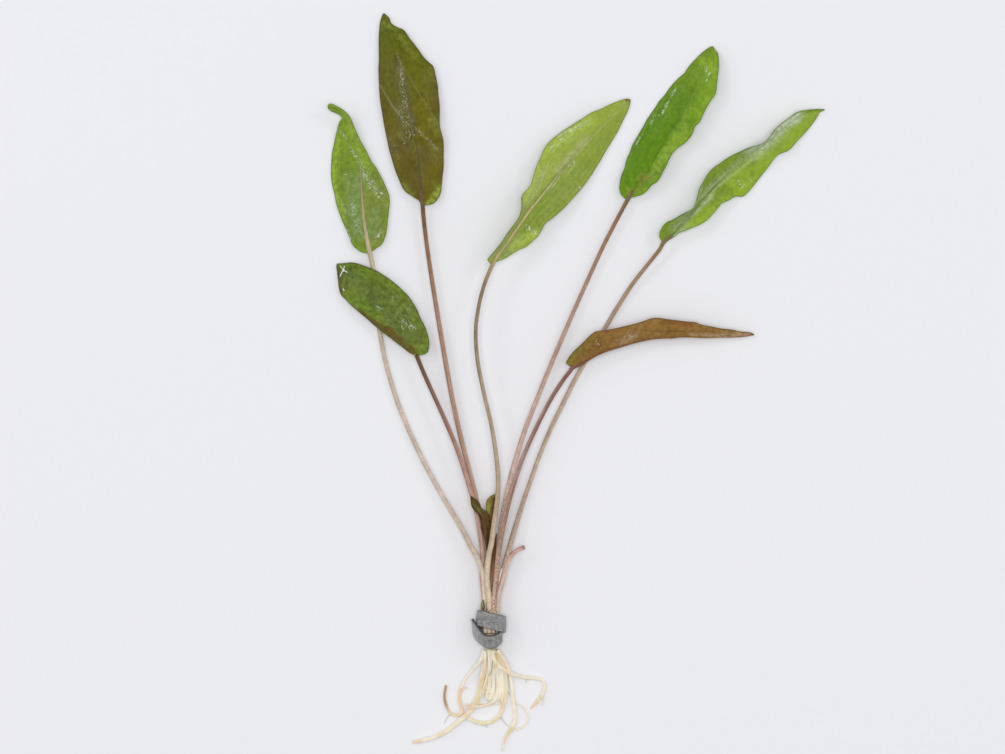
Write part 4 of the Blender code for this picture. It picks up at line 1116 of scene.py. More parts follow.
# ring is the place in the bundle in degrees, route the free part with heights in mm, girth the radius
# in mm at a picture Y, ribTo how far along the midrib the stalk goes on, ribRadii its radius there
stalks = [
    {
        "name": "leftStalk", "node": "left_leaf_stalk", "slot": "tan_stalk", "leaf": leftLeaf,
        "ring": 150,
        "route": [
            (482.6, 573, 5.4), (478, 558.8, 4.8), (470, 544.6, 4.1), (458.8, 523.6, 3.2), (440, 492, 2.1),
            (419.3, 453.3, 1.3), (399.5, 408.2, 0.9), (386.8, 368, 0.82), (379, 330, 0.82),
            (374.6, 290, 0.85), (372.6, 268, 1.1), (370.4, 257, 1.9), (369.4, 252.6, 2.3),
        ],
        "girth": [
            (632, 0.72), (600, 0.82), (560, 0.86), (480, 0.78), (380, 0.74), (262, 0.74), (252, 0.8),
        ],
        "ribTo": 0.6, "ribRadii": (0.72, 0.14), "riseMm": 0.12,
        "ramp": [
            (0.0, "#EADBC0"), (0.12, "#E4D4BE"), (0.19, "#CBB8A0"), (0.3, "#D2C0B0"),
            (0.6, "#CCB8A6"), (0.7, "#B0A088"), (0.8, "#C4B69A"), (0.845, "#C0B48C"),
            (0.88, "#AAA078"), (1.0, "#98985E"),
        ],
        "flank": "#B2A08A", "streakAndLight": "#DCCEC0", "specks": 0.2,
    },
    {
        "name": "smallStalk", "node": "small_leaf_stalk", "slot": "red_stalk", "leaf": smallLeaf,
        "ring": 195,
        "route": [
            (481.4, 575, 3.6), (482.4, 557, 4.3), (480.6, 540, 5.0), (476.6, 515, 5.4),
            (470.9, 493, 5.4), (464.2, 470.4, 5.3), (455.2, 444.4, 5.2), (444, 418.2, 5.0),
            (432.6, 393, 4.8), (423.2, 372, 4.6), (417.2, 357.6, 4.4), (416, 354.6, 4.5),
        ],
        "girth": [(632, 0.7), (600, 0.78), (550, 0.78), (470, 0.78), (393, 0.7), (354, 0.72)],
        "ribTo": 0.05, "ribRadii": (0.5, 0.1),
        "ramp": [
            (0.0, "#DCC8AE"), (0.2, "#CCAC98"), (0.42, "#D0AA9A"), (0.58, "#B08676"),
            (0.8, "#8E6458"), (0.92, "#70502F"), (1.0, "#5A3E1E"),
        ],
        "flank": "#70483E", "streakAndLight": "#C8A89A", "specks": 0.3,
    },
    {
        "name": "oliveStalk", "node": "olive_leaf_stalk", "slot": "red_stalk", "leaf": oliveLeaf,
        "ring": 240,
        "route": [
            (486.2, 575, 2.3), (483.6, 557, 2.4), (481.4, 540, 2.9), (478.6, 518, 3.2),
            (475.5, 497, 3.2), (470.8, 478, 3.2), (463, 448, 3.1), (453.8, 408, 3.0),
            (446.6, 370, 2.9), (439, 325, 2.8), (431.6, 280, 2.8), (425.8, 240, 2.8),
            (423, 215, 3.0), (422.2, 204.4, 3.2),
        ],
        "girth": [
            (632, 0.72), (600, 0.82), (550, 0.84), (480, 0.84), (400, 0.82), (325, 0.78), (240, 0.7),
            (204, 0.74),
        ],
        "ribTo": 0.4, "ribRadii": (0.3, 0.08), "riseMm": -0.2,
        "ramp": [
            (0.0, "#E0CAB4"), (0.15, "#E4C8B4"), (0.26, "#C4A490"), (0.38, "#A88674"),
            (0.62, "#A27C66"), (0.7, "#966E54"), (0.78, "#8A6442"), (0.84, "#6A4A2A"),
            (0.9, "#544018"), (1.0, "#524614"),
        ],
        "flank": "#84604C", "streakAndLight": "#D0B09A", "lit": 0.4, "specks": 0.3,
    },
    {
        "name": "middleStalk", "node": "middle_leaf_stalk", "slot": "tan_stalk", "leaf": middleLeaf,
        "ring": 105,
        "route": [
            (486.6, 580, 7.0), (486.7, 570, 7.15), (487.6, 560, 7.35), (489.3, 550, 7.6),
            (491.3, 540, 7.85), (494, 520, 8.2), (496.8, 500, 8.4), (497.7, 480, 8.6),
            (496, 457, 8.8), (491, 425, 9.2), (484, 395, 9.4), (477.2, 360, 9.4), (475.4, 330, 9.2),
            (478.6, 305, 9.0), (484.2, 283.6, 8.6), (490, 269, 8.2), (492.2, 264.6, 8.05),
        ],
        "girth": [
            (632, 0.8), (600, 1.05), (570, 1.02), (550, 0.92), (480, 0.8), (425, 0.7), (360, 0.7),
            (305, 0.64), (264, 0.68),
        ],
        "ribTo": 0.66, "ribRadii": (0.82, 0.14), "riseMm": 0.2,
        "ramp": [
            (0.0, "#EAD8BE"), (0.12, "#E4D0B6"), (0.25, "#C0AA92"), (0.36, "#B4A088"),
            (0.44, "#A89278"), (0.55, "#907A60"), (0.7, "#857050"), (0.76, "#BEAE78"),
            (0.86, "#CCC08E"), (0.93, "#BEBC80"), (1.0, "#98A458"),
        ],
        "flank": "#7A6850", "streakAndLight": "#C6B49A", "specks": 0.3,
    },
    {
        "name": "tallStalk", "node": "tall_leaf_stalk", "slot": "tan_stalk", "leaf": tallLeaf,
        "ring": 285,
        "route": [
            (494.5, 575, 2.3), (497, 555, 2.8), (500, 530, 3.1), (504, 505, 3.1), (509, 480.4, 3.0),
            (516.2, 455.4, 2.9), (524.8, 428.6, 2.7), (536.6, 398.2, 2.4), (552, 360.4, 2.2),
            (569.3, 320, 2.2), (585.2, 284, 2.2), (602.5, 246.3, 2.2), (617.8, 216.4, 2.3),
            (627.4, 198.8, 2.4),
        ],
        "girth": [
            (632, 0.72), (600, 0.9), (550, 0.88), (450, 0.82), (360, 0.74), (284, 0.68), (210, 0.68),
            (198, 0.72),
        ],
        "ribTo": 0.1, "ribRadii": (0.42, 0.08),
        "ramp": [
            (0.0, "#E6D6BE"), (0.28, "#E6CCBE"), (0.45, "#CCAEA0"), (0.6, "#B89482"),
            (0.76, "#A8846E"), (0.88, "#94704C"), (0.95, "#7E5C36"), (1.0, "#5E5C24"),
        ],
        "flank": "#A07E6C", "streakAndLight": "#E2CCBC", "specks": 0.9,
    },
    {
        "name": "wavyStalk", "node": "wavy_leaf_stalk", "slot": "tan_stalk", "leaf": wavyLeaf,
        "ring": 330,
        "route": [
            (501, 578, 4.2), (505.4, 560, 4.6), (510.2, 542.2, 4.0), (516, 522.6, 3.0),
            (522.4, 502.6, 2.2), (530, 480.4, 1.8), (539.4, 454.2, 1.4), (550.3, 428.2, 1.1),
            (562.8, 402.5, 0.9), (574.8, 378.5, 0.86), (587, 357.5, 0.84), (601, 333.6, 0.86),
            (617, 306.7, 1.2), (631.9, 283.7, 2.0), (647.6, 263.5, 3.1), (658.7, 249.5, 3.7),
            (663.2, 241.8, 4.0),
        ],
        "girth": [
            (632, 0.72), (600, 0.98), (565, 1.0), (540, 0.9), (500, 0.76), (450, 0.7), (400, 0.78),
            (306, 0.72), (263, 0.64), (241, 0.7),
        ],
        "ribTo": 0.08, "ribRadii": (0.5, 0.1),
        "ramp": [
            (0.0, "#E4CEBA"), (0.12, "#DAC0AE"), (0.25, "#B8A48E"), (0.42, "#B8A48E"),
            (0.6, "#BCA894"), (0.76, "#AC927C"), (0.88, "#A28260"), (0.95, "#8A6A46"),
            (1.0, "#6E683C"),
        ],
        "flank": "#988470", "streakAndLight": "#DAC6B0", "specks": 0.8,
    },
    {
        "name": "foldedStalk", "node": "folded_leaf_stalk", "slot": "red_stalk", "leaf": foldedLeaf,
        "ring": 60,
        "route": [
            (496, 575, 6.8), (498, 552, 6.9), (501.7, 530, 6.9), (506.5, 508, 6.8), (512.2, 487, 6.6),
            (520.8, 460.8, 6.4), (531, 437, 6.2), (541.2, 415.7, 6.0), (551.5, 396.4, 5.8),
            (562.6, 379.4, 5.6), (568.6, 371.6, 5.4), (572, 367.2, 5.2),
        ],
        "girth": [
            (632, 0.72), (600, 1.0), (575, 0.92), (540, 0.86), (500, 0.84), (436, 0.74), (366, 0.72),
        ],
        "ribTo": 0.6, "ribRadii": (0.3, 0.1),
        "ramp": [
            (0.0, "#E4CAB2"), (0.12, "#CCAE98"), (0.25, "#AC8A74"), (0.45, "#A07A6C"),
            (0.58, "#8E665A"), (0.72, "#7A5042"), (0.8, "#80503A"), (1.0, "#885238"),
        ],
        "flank": "#6C463C", "streakAndLight": "#CAAEA4", "specks": 0.9, "litSide": -1,
    },
]

stalkBuild = {
    "rows": 280,
    "sides": 32,
    "ribs": 9,
    "ribDepth": 0.035,
    "roughen": 0.03,
    "midribPlaces": 60,     # of these places on the midrib, the stalk follows every third
    "riseMm": -0.15,        # how high it lies over the middle of the blade there
    "shoulderMm": 1.5,      # how soon it thins where the blade begins
}

for stalk in stalks:
    midrib = bladeLines(stalk["leaf"], stalkBuild["midribPlaces"])[1]
    ribEnd = int(stalk["ribTo"] * (stalkBuild["midribPlaces"] - 1))
    riseMm = stalk.get("riseMm", stalkBuild["riseMm"])
    onBlade = midrib[3:ribEnd + 1:3] + np.array([0, 0, riseMm * mm])
    route = routeOf(stalk["route"], stalkBuild["rows"], baseInBundle(stalk["ring"]), onBlade)

    # the girth follows the picture up to the blade, from there on the rib's own radii
    girthY, girthMm = zip(*reversed(stalk["girth"]))
    radii = np.interp(picture["middleY"] - route[:, 1] / metresPerPoint, girthY, girthMm)
    ribLength = lengthKnots(onBlade)[-1]
    fromTip = lengthKnots(route)[-1] - lengthKnots(route)
    startMm, endMm = stalk["ribRadii"]
    ribMm = endMm + (startMm - endMm) * np.clip(fromTip / max(ribLength, tiny), 0, 1)
    shoulder = np.exp(-(ribLength - fromTip) / (stalkBuild["shoulderMm"] * mm))
    ribMm += (stalk["girth"][-1][1] - startMm) * shoulder
    radii = np.where(fromTip < ribLength, ribMm, radii)
    piece = buildTube(
        stalk["name"], route, radii, stalkBuild["sides"], stalkBuild["roughen"], stalk["ring"],
        stalkBuild["ribs"], stalkBuild["ribDepth"])
    material = stalkMaterial(
        stalk["name"] + "Petiole", stalk["ramp"], stalk["flank"], stalk["streakAndLight"], specks=stalk["specks"],
        lit=stalk.get("lit", 0.45), litSide=stalk.get("litSide", 1))
    finishPiece(piece, material, [stalk["node"]])
print("stalks done")

# What else stands between the stalks: a young shoot in the middle, a pale strip in the slit beside
# the folded stalk, drawn as the edge of an old sheath, which is painted light where the slit shows the
# light behind, the stub of a stalk that was cut, and the crown, a short knobbly rhizome that all of them
# grow from
bunchParts = [
    {
        "name": "youngShoot", "nodes": ["young_shoot"], "slot": "red_stalk", "base": baseInBundle(),
        "route": [
            (490.6, 584, 5.0), (491.6, 574, 5.5), (492.6, 563, 5.7), (493.6, 552, 5.7), (494.6, 543, 5.5),
            (496, 533, 5.1),
        ],
        "radii": [0.6, 0.8, 1.0, 1.1, 1.2, 1.0, 0.6, 0.2], "rows": 90, "sides": 24,
        "ribs": 7, "ribDepth": 0.04, "roughen": 0.03, "seed": 5, "skin": "youngShootPetiole",
        "ramp": [
            (0.0, "#CDB496"), (0.4, "#B08C70"), (0.62, "#84604A"), (0.8, "#64442C"), (1.0, "#5A3C26"),
        ],
        "flank": "#5E422E", "streakAndLight": "#A48060", "specks": 0.9,
    },
    {
        # painted light: a pale strip where the slit between the stalks shows light
        "name": "litSlitSheath", "nodes": [], "slot": "tan_stalk", "base": [],
        "route": [
            (502, 565.5, 4.6), (500.3, 571, 5.6), (498.6, 577, 6.0), (497.2, 583, 6.0), (496.4, 589, 5.6),
        ],
        "radii": [0.12, 0.34, 0.4, 0.34, 0.1], "rows": 40, "sides": 12,
        "ribs": 0, "ribDepth": 0.0, "roughen": 0.1, "seed": 7, "skin": "litSlitSkin",
        "ramp": [(0.0, "#F2EADC"), (1.0, "#E6DAC6")],
        "flank": "#D8C8B4", "streakAndLight": "#F6F0E6", "specks": 0.1,
    },
    {
        "name": "cutStub", "nodes": ["cut_stalk"], "slot": "tan_stalk", "base": baseInBundle(15),
        "route": [
            (501, 582, 4.6), (504.4, 570, 4.8), (507.4, 560.5, 4.9), (510.6, 555, 4.9), (514.4, 551, 4.8),
            (519, 548.2, 4.7), (524, 546.3, 4.6),
        ],
        "radii": [0.75, 0.9, 1.05, 1.0, 0.74, 0.68, 0.7], "rows": 120, "sides": 28,
        "ribs": 9, "ribDepth": 0.03, "roughen": 0.03, "seed": 6, "skin": "cutStubPetiole",
        "ramp": [
            (0.0, "#E6D4BA"), (0.5, "#D6C0AE"), (0.72, "#D4B6A8"), (0.84, "#D2AA9C"), (0.96, "#D4AEA0"),
            (1.0, "#8A6858"),
        ],
        "flank": "#96685A", "streakAndLight": "#E2C4B6", "specks": 0.9,
    },
    {
        "name": "crown", "nodes": ["crown"], "slot": "crown_flesh", "base": [],
        "route": [
            (490.2, 632.2, 4.2), (490.2, 637, 4.0), (490.1, 641, 3.8), (490, 645, 3.5), (490, 649.3, 3.3),
        ],
        "radii": [2.1, 2.4, 2.5, 2.4, 2.2, 1.7], "rows": 50, "sides": 40,
        "ribs": 0, "ribDepth": 0.0, "roughen": 0.16, "seed": 11, "skin": "crownRhizome",
        "ramp": [(0.0, "#D6C49C"), (0.5, "#D2BC90"), (0.8, "#E0CEA4"), (1.0, "#F0E2BE")],
        "flank": "#B69C72", "streakAndLight": "#C8B084", "specks": 0.55,
    },
]
for part in bunchParts:
    route = routeOf(part["route"], part["rows"], part["base"])
    piece = buildTube(
        part["name"], route, part["radii"], part["sides"], part["roughen"], part["seed"],
        part["ribs"], part["ribDepth"])
    material = stalkMaterial(
        part["skin"], part["ramp"], part["flank"], part["streakAndLight"], specks=part["specks"])
    finishPiece(piece, material, part["nodes"])
print("crown done")


# Roots, from the crown to the tip, radii in mm at even steps

roots = [
    {
        "name": "longRoot", "node": "long_root",
        "radii": [0.8, 0.92, 0.98, 1.0, 0.95, 0.92, 0.88, 0.82, 0.6],
        "route": [
            (486.1, 649, 3.15), (484.6, 658, 2.9), (483.2, 669, 2.3), (480.6, 682, 1.5),
            (477.8, 695, 1.05), (473, 706, 0.98), (465.5, 714.5, 0.96), (456.5, 722.5, 0.94),
            (446, 730.5, 0.92), (434, 736.5, 0.88), (422, 739.8, 0.82), (412.6, 741.5, 0.74),
        ],
    },
    {
        "name": "hookedRoot", "node": "hooked_root",
        "radii": [0.56, 0.5, 0.5, 0.52, 0.62, 0.62, 0.56, 0.56, 0.54, 0.5, 0.46],
        "brownSpan": (0.72, 0.85),    # the part of its length where it browns
        "route": [
            (484, 649, 4.95), (480, 659.5, 4.1), (471.5, 670, 2.3), (464, 680, 1.1), (459.8, 690, 0.64),
            (459, 698, 0.64), (460.6, 706, 0.8), (461.6, 711.6, 1.0), (457.3, 714.6, 0.8),
            (450.5, 712.6, 0.6), (446, 705.5, 0.58), (444, 696, 0.54), (445.6, 684.5, 0.5),
        ],
    },
    {
        "name": "crossingRoot", "node": "crossing_root", "radii": [0.54, 0.52, 0.52, 0.54, 0.5, 0.42],
        "route": [
            (490.9, 649, 2.6), (492, 662, 1.7), (494.8, 678, 0.85), (497, 690, 0.6), (495, 698.5, 0.66),
            (488, 703.6, 1.2), (480.5, 705.6, 2.3), (473.5, 705.8, 2.6), (468, 706.6, 2.2),
        ],
    },
    {
        "name": "loopRoot", "node": "loop_root",
        "radii": [0.66, 0.64, 0.66, 0.66, 0.74, 0.76, 0.74, 0.66],
        "route": [
            (495.2, 649, 3.0), (500.4, 661, 2.0), (504.2, 674, 0.95), (505.8, 688, 0.72),
            (503.6, 702, 0.74), (499.6, 713.5, 0.78), (493, 720, 0.8), (484.5, 722.6, 0.8),
            (476, 721.4, 0.78), (470, 718.8, 0.74), (466, 716.5, 0.8),
        ],
    },
    {
        "name": "rightRoot", "node": "right_root",
        "radii": [0.6, 0.68, 0.68, 0.66, 0.6, 0.62, 0.64, 0.64, 0.72, 0.36],
        "route": [
            (491.9, 649, 5.15), (493.6, 657.5, 5.35), (498.5, 665, 4.8), (506, 670.3, 3.8),
            (514.5, 674.4, 2.5), (525, 676.9, 1.15), (535, 677.6, 0.7), (541.6, 679.6, 0.66),
            (543.8, 685.5, 0.66), (542.2, 693, 0.68), (537.5, 700, 0.72), (530.4, 707.8, 0.5),
        ],
    },
    {
        "name": "lowerRoot", "node": "lower_root",
        "radii": [0.66, 0.66, 0.64, 0.66, 0.7, 0.72, 0.82, 0.5, 0.28],
        "route": [
            (496.8, 649, 4.8), (503, 659, 3.3), (509, 672, 1.5), (511.4, 687, 0.76), (512.6, 701, 0.73),
            (514.4, 711, 0.73), (513.8, 721, 0.76), (510, 729.5, 0.82), (505.6, 736.5, 0.86),
            (503, 743.5, 0.62), (501.5, 750.3, 0.36),
        ],
    },
    {
        "name": "shortRoot", "node": "short_root", "radii": [0.56, 0.66, 0.7, 0.66, 0.5],
        "route": [
            (488.2, 649, 4.95), (489, 660, 4.2), (489.2, 673, 2.4), (488.2, 686, 1.1), (485.8, 698, 0.62),
        ],
    },
]

# where the roots turn orange, as at the knot on the left, and where yellowish
rootTints = {
    "orange": [
        ([(460, 689), (459, 698), (461, 706), (464, 712)], 1.1), ([(460, 690), (467, 687)], 0.6),
        ([(465, 710), (469, 706), (474, 703)], 1.3, 0.9),
        ([(484.4, 660), (482.6, 674), (480, 690)], 0.6, 0.8),
        ([(500, 651), (503, 660), (504, 668), (510, 671)], 0.9, 0.7),
        ([(536, 701.5), (530.5, 707.8)], 0.9),
        ([(506.6, 733), (503.4, 741)], 1.0, 0.9), ([(502, 694), (500.5, 706)], 0.8, 0.9),
        ([(412, 742), (419, 740.6)], 1.1, 0.8), ([(490, 703), (476, 705.8)], 0.6, 0.7),
        ([(462, 714.6), (450, 712), (446, 705)], 0.9, 0.6),
    ],
    "yellow": [
        ([(494.6, 649), (495.8, 655), (497, 663)], 0.7),
        ([(480.4, 678), (478.6, 692), (476, 702)], 0.7, 0.8),
        ([(539, 695.5), (540.4, 699)], 0.6), ([(511, 727.6), (509, 731)], 0.8),
        ([(443, 732.5), (439, 735)], 0.9, 0.6), ([(498, 717.5), (492, 721)], 0.6, 0.7),
        ([(468, 716), (476, 721.4), (486, 723)], 0.7, 0.6), ([(487, 672), (485, 690)], 0.7, 0.5),
        ([(504.6, 678), (505.8, 688), (503.6, 702), (499.6, 713.5)], 0.7, 0.55),
        ([(457, 714), (450.5, 712.6)], 0.6, 0.7),
    ],
}

rootBuild = {"rows": 170, "sides": 18, "roughen": 0.1}
sideRootBuild = {"rows": 48, "sides": 12, "roughen": 0.12}


def tintRoot(piece):
    spots = np.array([vertex.co[:2] for vertex in piece.data.vertices])
    for tint, strokes in rootTints.items():
        addMask(piece.data, tint, strokeMask(spots, strokes))


freshRoot = rootMaterial("freshRoot", "#F2E9D6", "#EFDDBF", "#B8966F")
fineRoots = rootMaterial("fineRoots", "#F0E4C8", "#EBDAB2", "#B8966F", scatter=0.0)
hairRoot = rootMaterial("hairRoot", "#B6B09A", "#A0987E", "#8A7A5E")
for index, root in enumerate(roots):
    steps = np.linspace(0, 1, rootBuild["rows"])[:, None]
    brown = softStep(*root["brownSpan"], steps) if "brownSpan" in root else 0.0
    piece = buildTube(
        root["name"], routeOf(root["route"], rootBuild["rows"]), root["radii"], rootBuild["sides"],
        rootBuild["roughen"], 30 + index, brown=brown)
    tintRoot(piece)
    finishPiece(piece, freshRoot, [root["node"]])

# Side roots: route and the radius in mm at each end
sideRoots = [
    ([(460.5, 690.5, 0.7), (463, 688.5, 0.8), (467, 686.8, 0.8)], 0.42, 0.22),
    ([(513, 701.5, 0.6), (519, 703.8, 0.5), (524, 708, 0.45), (527.6, 714, 0.45), (527, 720, 0.45),
      (523, 725.4, 0.45), (517, 728.6, 0.45), (511.5, 730, 0.6)], 0.36, 0.34),
    ([(541.6, 688, 0.6), (543.2, 695, 0.5), (543, 701, 0.45), (541.4, 706, 0.4)], 0.3, 0.16),
    ([(491, 650, 4.0), (494, 663, 2.4), (495.5, 676, 1.2), (494, 690, 0.4)], 0.4, 0.2),
    ([(498, 649, 3.4), (502, 660, 2.2), (507, 668, 1.2), (509.5, 678, 0.8)], 0.4, 0.3),
    ([(482.8, 649, 3.6), (483, 657, 2.8), (482, 668, 1.8), (480.6, 678, 1.2)], 0.4, 0.24),
    ([(478, 702, 0.9), (484, 704.5, 0.5), (492, 704.5, 0.45), (500, 702.5, 0.6)], 0.34, 0.24),
    ([(466, 703, 0.7), (468, 708, 0.8), (468, 714, 0.8), (466, 719, 0.6)], 0.6, 0.4),
    ([(491, 649, 5.4), (490.6, 660, 4.2), (487.6, 673, 2.6), (484, 685, 1.5), (481, 697, 0.9)],
     0.6, 0.36),
    ([(493.4, 649, 5.4), (493.2, 662, 3.5), (491.6, 676, 1.4), (490.6, 690, 0.5)], 0.54, 0.14),
    ([(498.6, 650, 4.4), (502, 661, 3.2), (505, 672, 1.9), (506.4, 684, 0.9), (505.6, 697, 0.6)],
     0.56, 0.36),
    ([(484.4, 650, 5.0), (484.4, 662, 4.0), (483, 676, 2.2), (481.6, 688, 1.2)], 0.6, 0.4),
    ([(495.4, 650, 4.2), (497.6, 662, 2.6), (498.6, 674, 1.2), (498, 684, 0.55)], 0.46, 0.12),
]

# Hair-fine rootlets, in a greyer colour than the other roots
hairs = [
    ([(450, 713.4, 0.7), (447, 716.6, 0.4), (445, 720, 0.3), (443.8, 723, 0.25)], 0.17, 0.08),
    ([(483, 687.6, 1.6), (486, 690.4, 1.0), (490, 693.6, 0.9)], 0.15, 0.08),
    ([(495, 678, 1.7), (495.4, 686, 1.3), (494.4, 691, 1.2), (493, 696, 1.1)], 0.16, 0.09),
    ([(499.8, 715, 0.5), (503, 720.6, 0.35), (507.8, 726, 0.3)], 0.16, 0.09),
    ([(491.4, 667, 4.4), (490.6, 671, 3.6), (489, 675, 3.0)], 0.18, 0.24),
    ([(505.6, 690, 0.7), (508.5, 692.6, 0.5), (510.4, 697, 0.4)], 0.14, 0.08),
    ([(484, 722.6, 0.9), (485.6, 726, 0.4), (488, 727.4, 0.25)], 0.12, 0.06),
    ([(525, 676.8, 1.2), (526, 681, 0.5), (524.5, 684, 0.3)], 0.1, 0.05),
    ([(515, 703, 0.6), (519, 703.6, 0.5), (522.6, 706.4, 0.4)], 0.12, 0.08),
]

# The mat of fine roots that fills the middle, as one rippled sheet
rootMat = {
    "left": [(485, 649, 3.9), (484.4, 660, 3.2), (483.6, 672, 2.0), (483, 686, 0.9), (485, 699, 0.4)],
    "right": [(499, 649, 4.1), (502, 660, 2.7), (504, 672, 1.3), (504.6, 686, 0.55), (502, 700, 0.35)],
    "rows": 110,
    "columns": 64,
    "strands": 11,
    "strandDepthMm": 0.05,
    "swayPerMetre": 130.0,      # the strands wander sideways,
    "swayStrands": 1.6,         # by up to about as many strands
    "fringeMm": 2.2,            # how ragged the lower end is
    "fringeFrom": 0.8,
    "fringeTeeth": 36.0,
    # painted light: the whole sheet gets the paler paint of a root's flank
    "paintedFlankLight": 0.8,            # it is as pale as a root's lit flank
    "lowestMm": 0.2,
    "thicknessMm": 0.16,
}


def buildRootMat():
    rows, columns = rootMat["rows"], rootMat["columns"]
    across = np.linspace(0, 1, columns)
    left = routeOf(rootMat["left"], rows)[:, None]
    right = routeOf(rootMat["right"], rows)[:, None]
    grid = left * (1 - across)[:, None] + right * across[:, None]
    sway = noiseAt(grid, rootMat["swayPerMetre"], 71) * rootMat["swayStrands"]
    strand = np.sin((across * rootMat["strands"] + sway) * 2 * math.pi)
    fringe = noiseAt(np.outer(across, [1, 0, 0]), rootMat["fringeTeeth"], 72)
    loose = softStep(rootMat["fringeFrom"], 1.0, np.linspace(0, 1, rows))[:, None]
    grid[..., 1] -= loose * fringe * rootMat["fringeMm"] * mm
    grid[..., 2] += strand * rootMat["strandDepthMm"] * mm
    grid[..., 2] = np.maximum(grid[..., 2], rootMat["lowestMm"] * mm)
    flat = np.zeros((rows, columns))
    piece = meshFromGrid("rootMat", grid, {"brown": flat, "flank": flat + rootMat["paintedFlankLight"]})
    thicken(piece, rootMat["thicknessMm"])
    tintRoot(piece)
    finishPiece(piece, fineRoots)


buildRootMat()
for kind, material, thinRoots in (("sideRoot", freshRoot, sideRoots), ("rootHair", hairRoot, hairs)):
    for index, (points, startMm, endMm) in enumerate(thinRoots):
        piece = buildTube(
            f"{kind}{index + 1:02d}", routeOf(points, sideRootBuild["rows"]),
            [startMm, 0.5 * (startMm + endMm), endMm], sideRootBuild["sides"], sideRootBuild["roughen"],
            60 + index)
        tintRoot(piece)
        finishPiece(piece, material)
print("roots done")


# The weight strip: its upper and lower edge at each bend, from the loose end round to the tucked end
strip = {
    "thicknessMm": 0.9,
    "cornerMm": 0.16,
    "cornerDrop": 0.135,                # how far a corner drops, as a share of cornerMm
    "rows": 240,
    "facePlaces": 17,
    "edgePlaces": (0.65, 0.0, -0.65),
    # painted shade: the upper corners and the face beside them are darkened, besides the darker cut edges
    "cutDark": (1.0, 0.6, 0.15),        # on the cut edges, on the upper corners, on the face beside those
    "endDark": 0.8,
    # painted light: the loose end is painted lighter up to here
    "paintedLitEndSpan": (0.04, 0.2),            # the loose end is worn bright up to here
    "dents": ((380.0, 0.1, 41), (1100.0, 0.035, 42)),   # how many in a metre, depth in mm, seed
    "bevelMm": 0.08,
    "bevelAngle": 40,
    "sharpAngle": 50,
    "bends": [
        ((472, 617.5, 6.8), (472.5, 622.5, 1.8)), ((475.6, 623, 7.1), (474, 634.5, 3.0)),
        ((480.4, 629.6, 7.8), (478.8, 641.5, 4.9)), ((484.5, 633.2, 8.2), (484.3, 646, 5.9)),
        ((490, 634.2, 8.3), (490, 647.8, 6.4)), ((495.5, 633, 7.9), (495.7, 646, 5.6)),
        ((499.2, 630.3, 6.7), (499.8, 642.5, 3.9)), ((500.8, 626.5, 5.0), (500.8, 640, 2.2)),
        ((500.2, 623, 3.0), (499.6, 638, 1.0)), ((497.6, 620.5, 1.2), (496.8, 636.6, 0.5)),
        ((493.8, 619, 0.45), (493.6, 635.5, 0.45)), ((491.4, 618.8, 0.45), (491.4, 635.3, 0.45)),
        ((488.6, 618.4, 0.45), (488.6, 634.9, 0.45)), ((486.2, 618, 0.45), (486, 634.4, 0.45)),
        ((481.6, 616, 1.0), (480.6, 632, 1.0)), ((478.6, 613, 2.6), (476.6, 628.4, 2.6)),
        ((477.8, 610.6, 4.6), (475.7, 625.4, 4.5)), ((478.6, 609, 6.5), (477.4, 624.8, 6.4)),
        ((482.4, 609, 7.9), (481.8, 625.4, 7.8)), ((487.6, 610.6, 8.5), (487.2, 627, 8.4)),
        ((493.4, 612.2, 8.5), (493, 628.6, 8.5)), ((498.8, 613.6, 7.9), (498.4, 630, 7.9)),
        ((502.8, 614.4, 6.6), (502.2, 630.8, 6.6)), ((504.3, 615, 4.8), (504.1, 631.4, 4.8)),
        ((503.9, 615.5, 3.0), (503.7, 631.9, 3.0)), ((502.2, 616, 1.6), (502, 632.4, 1.6)),
    ],
}


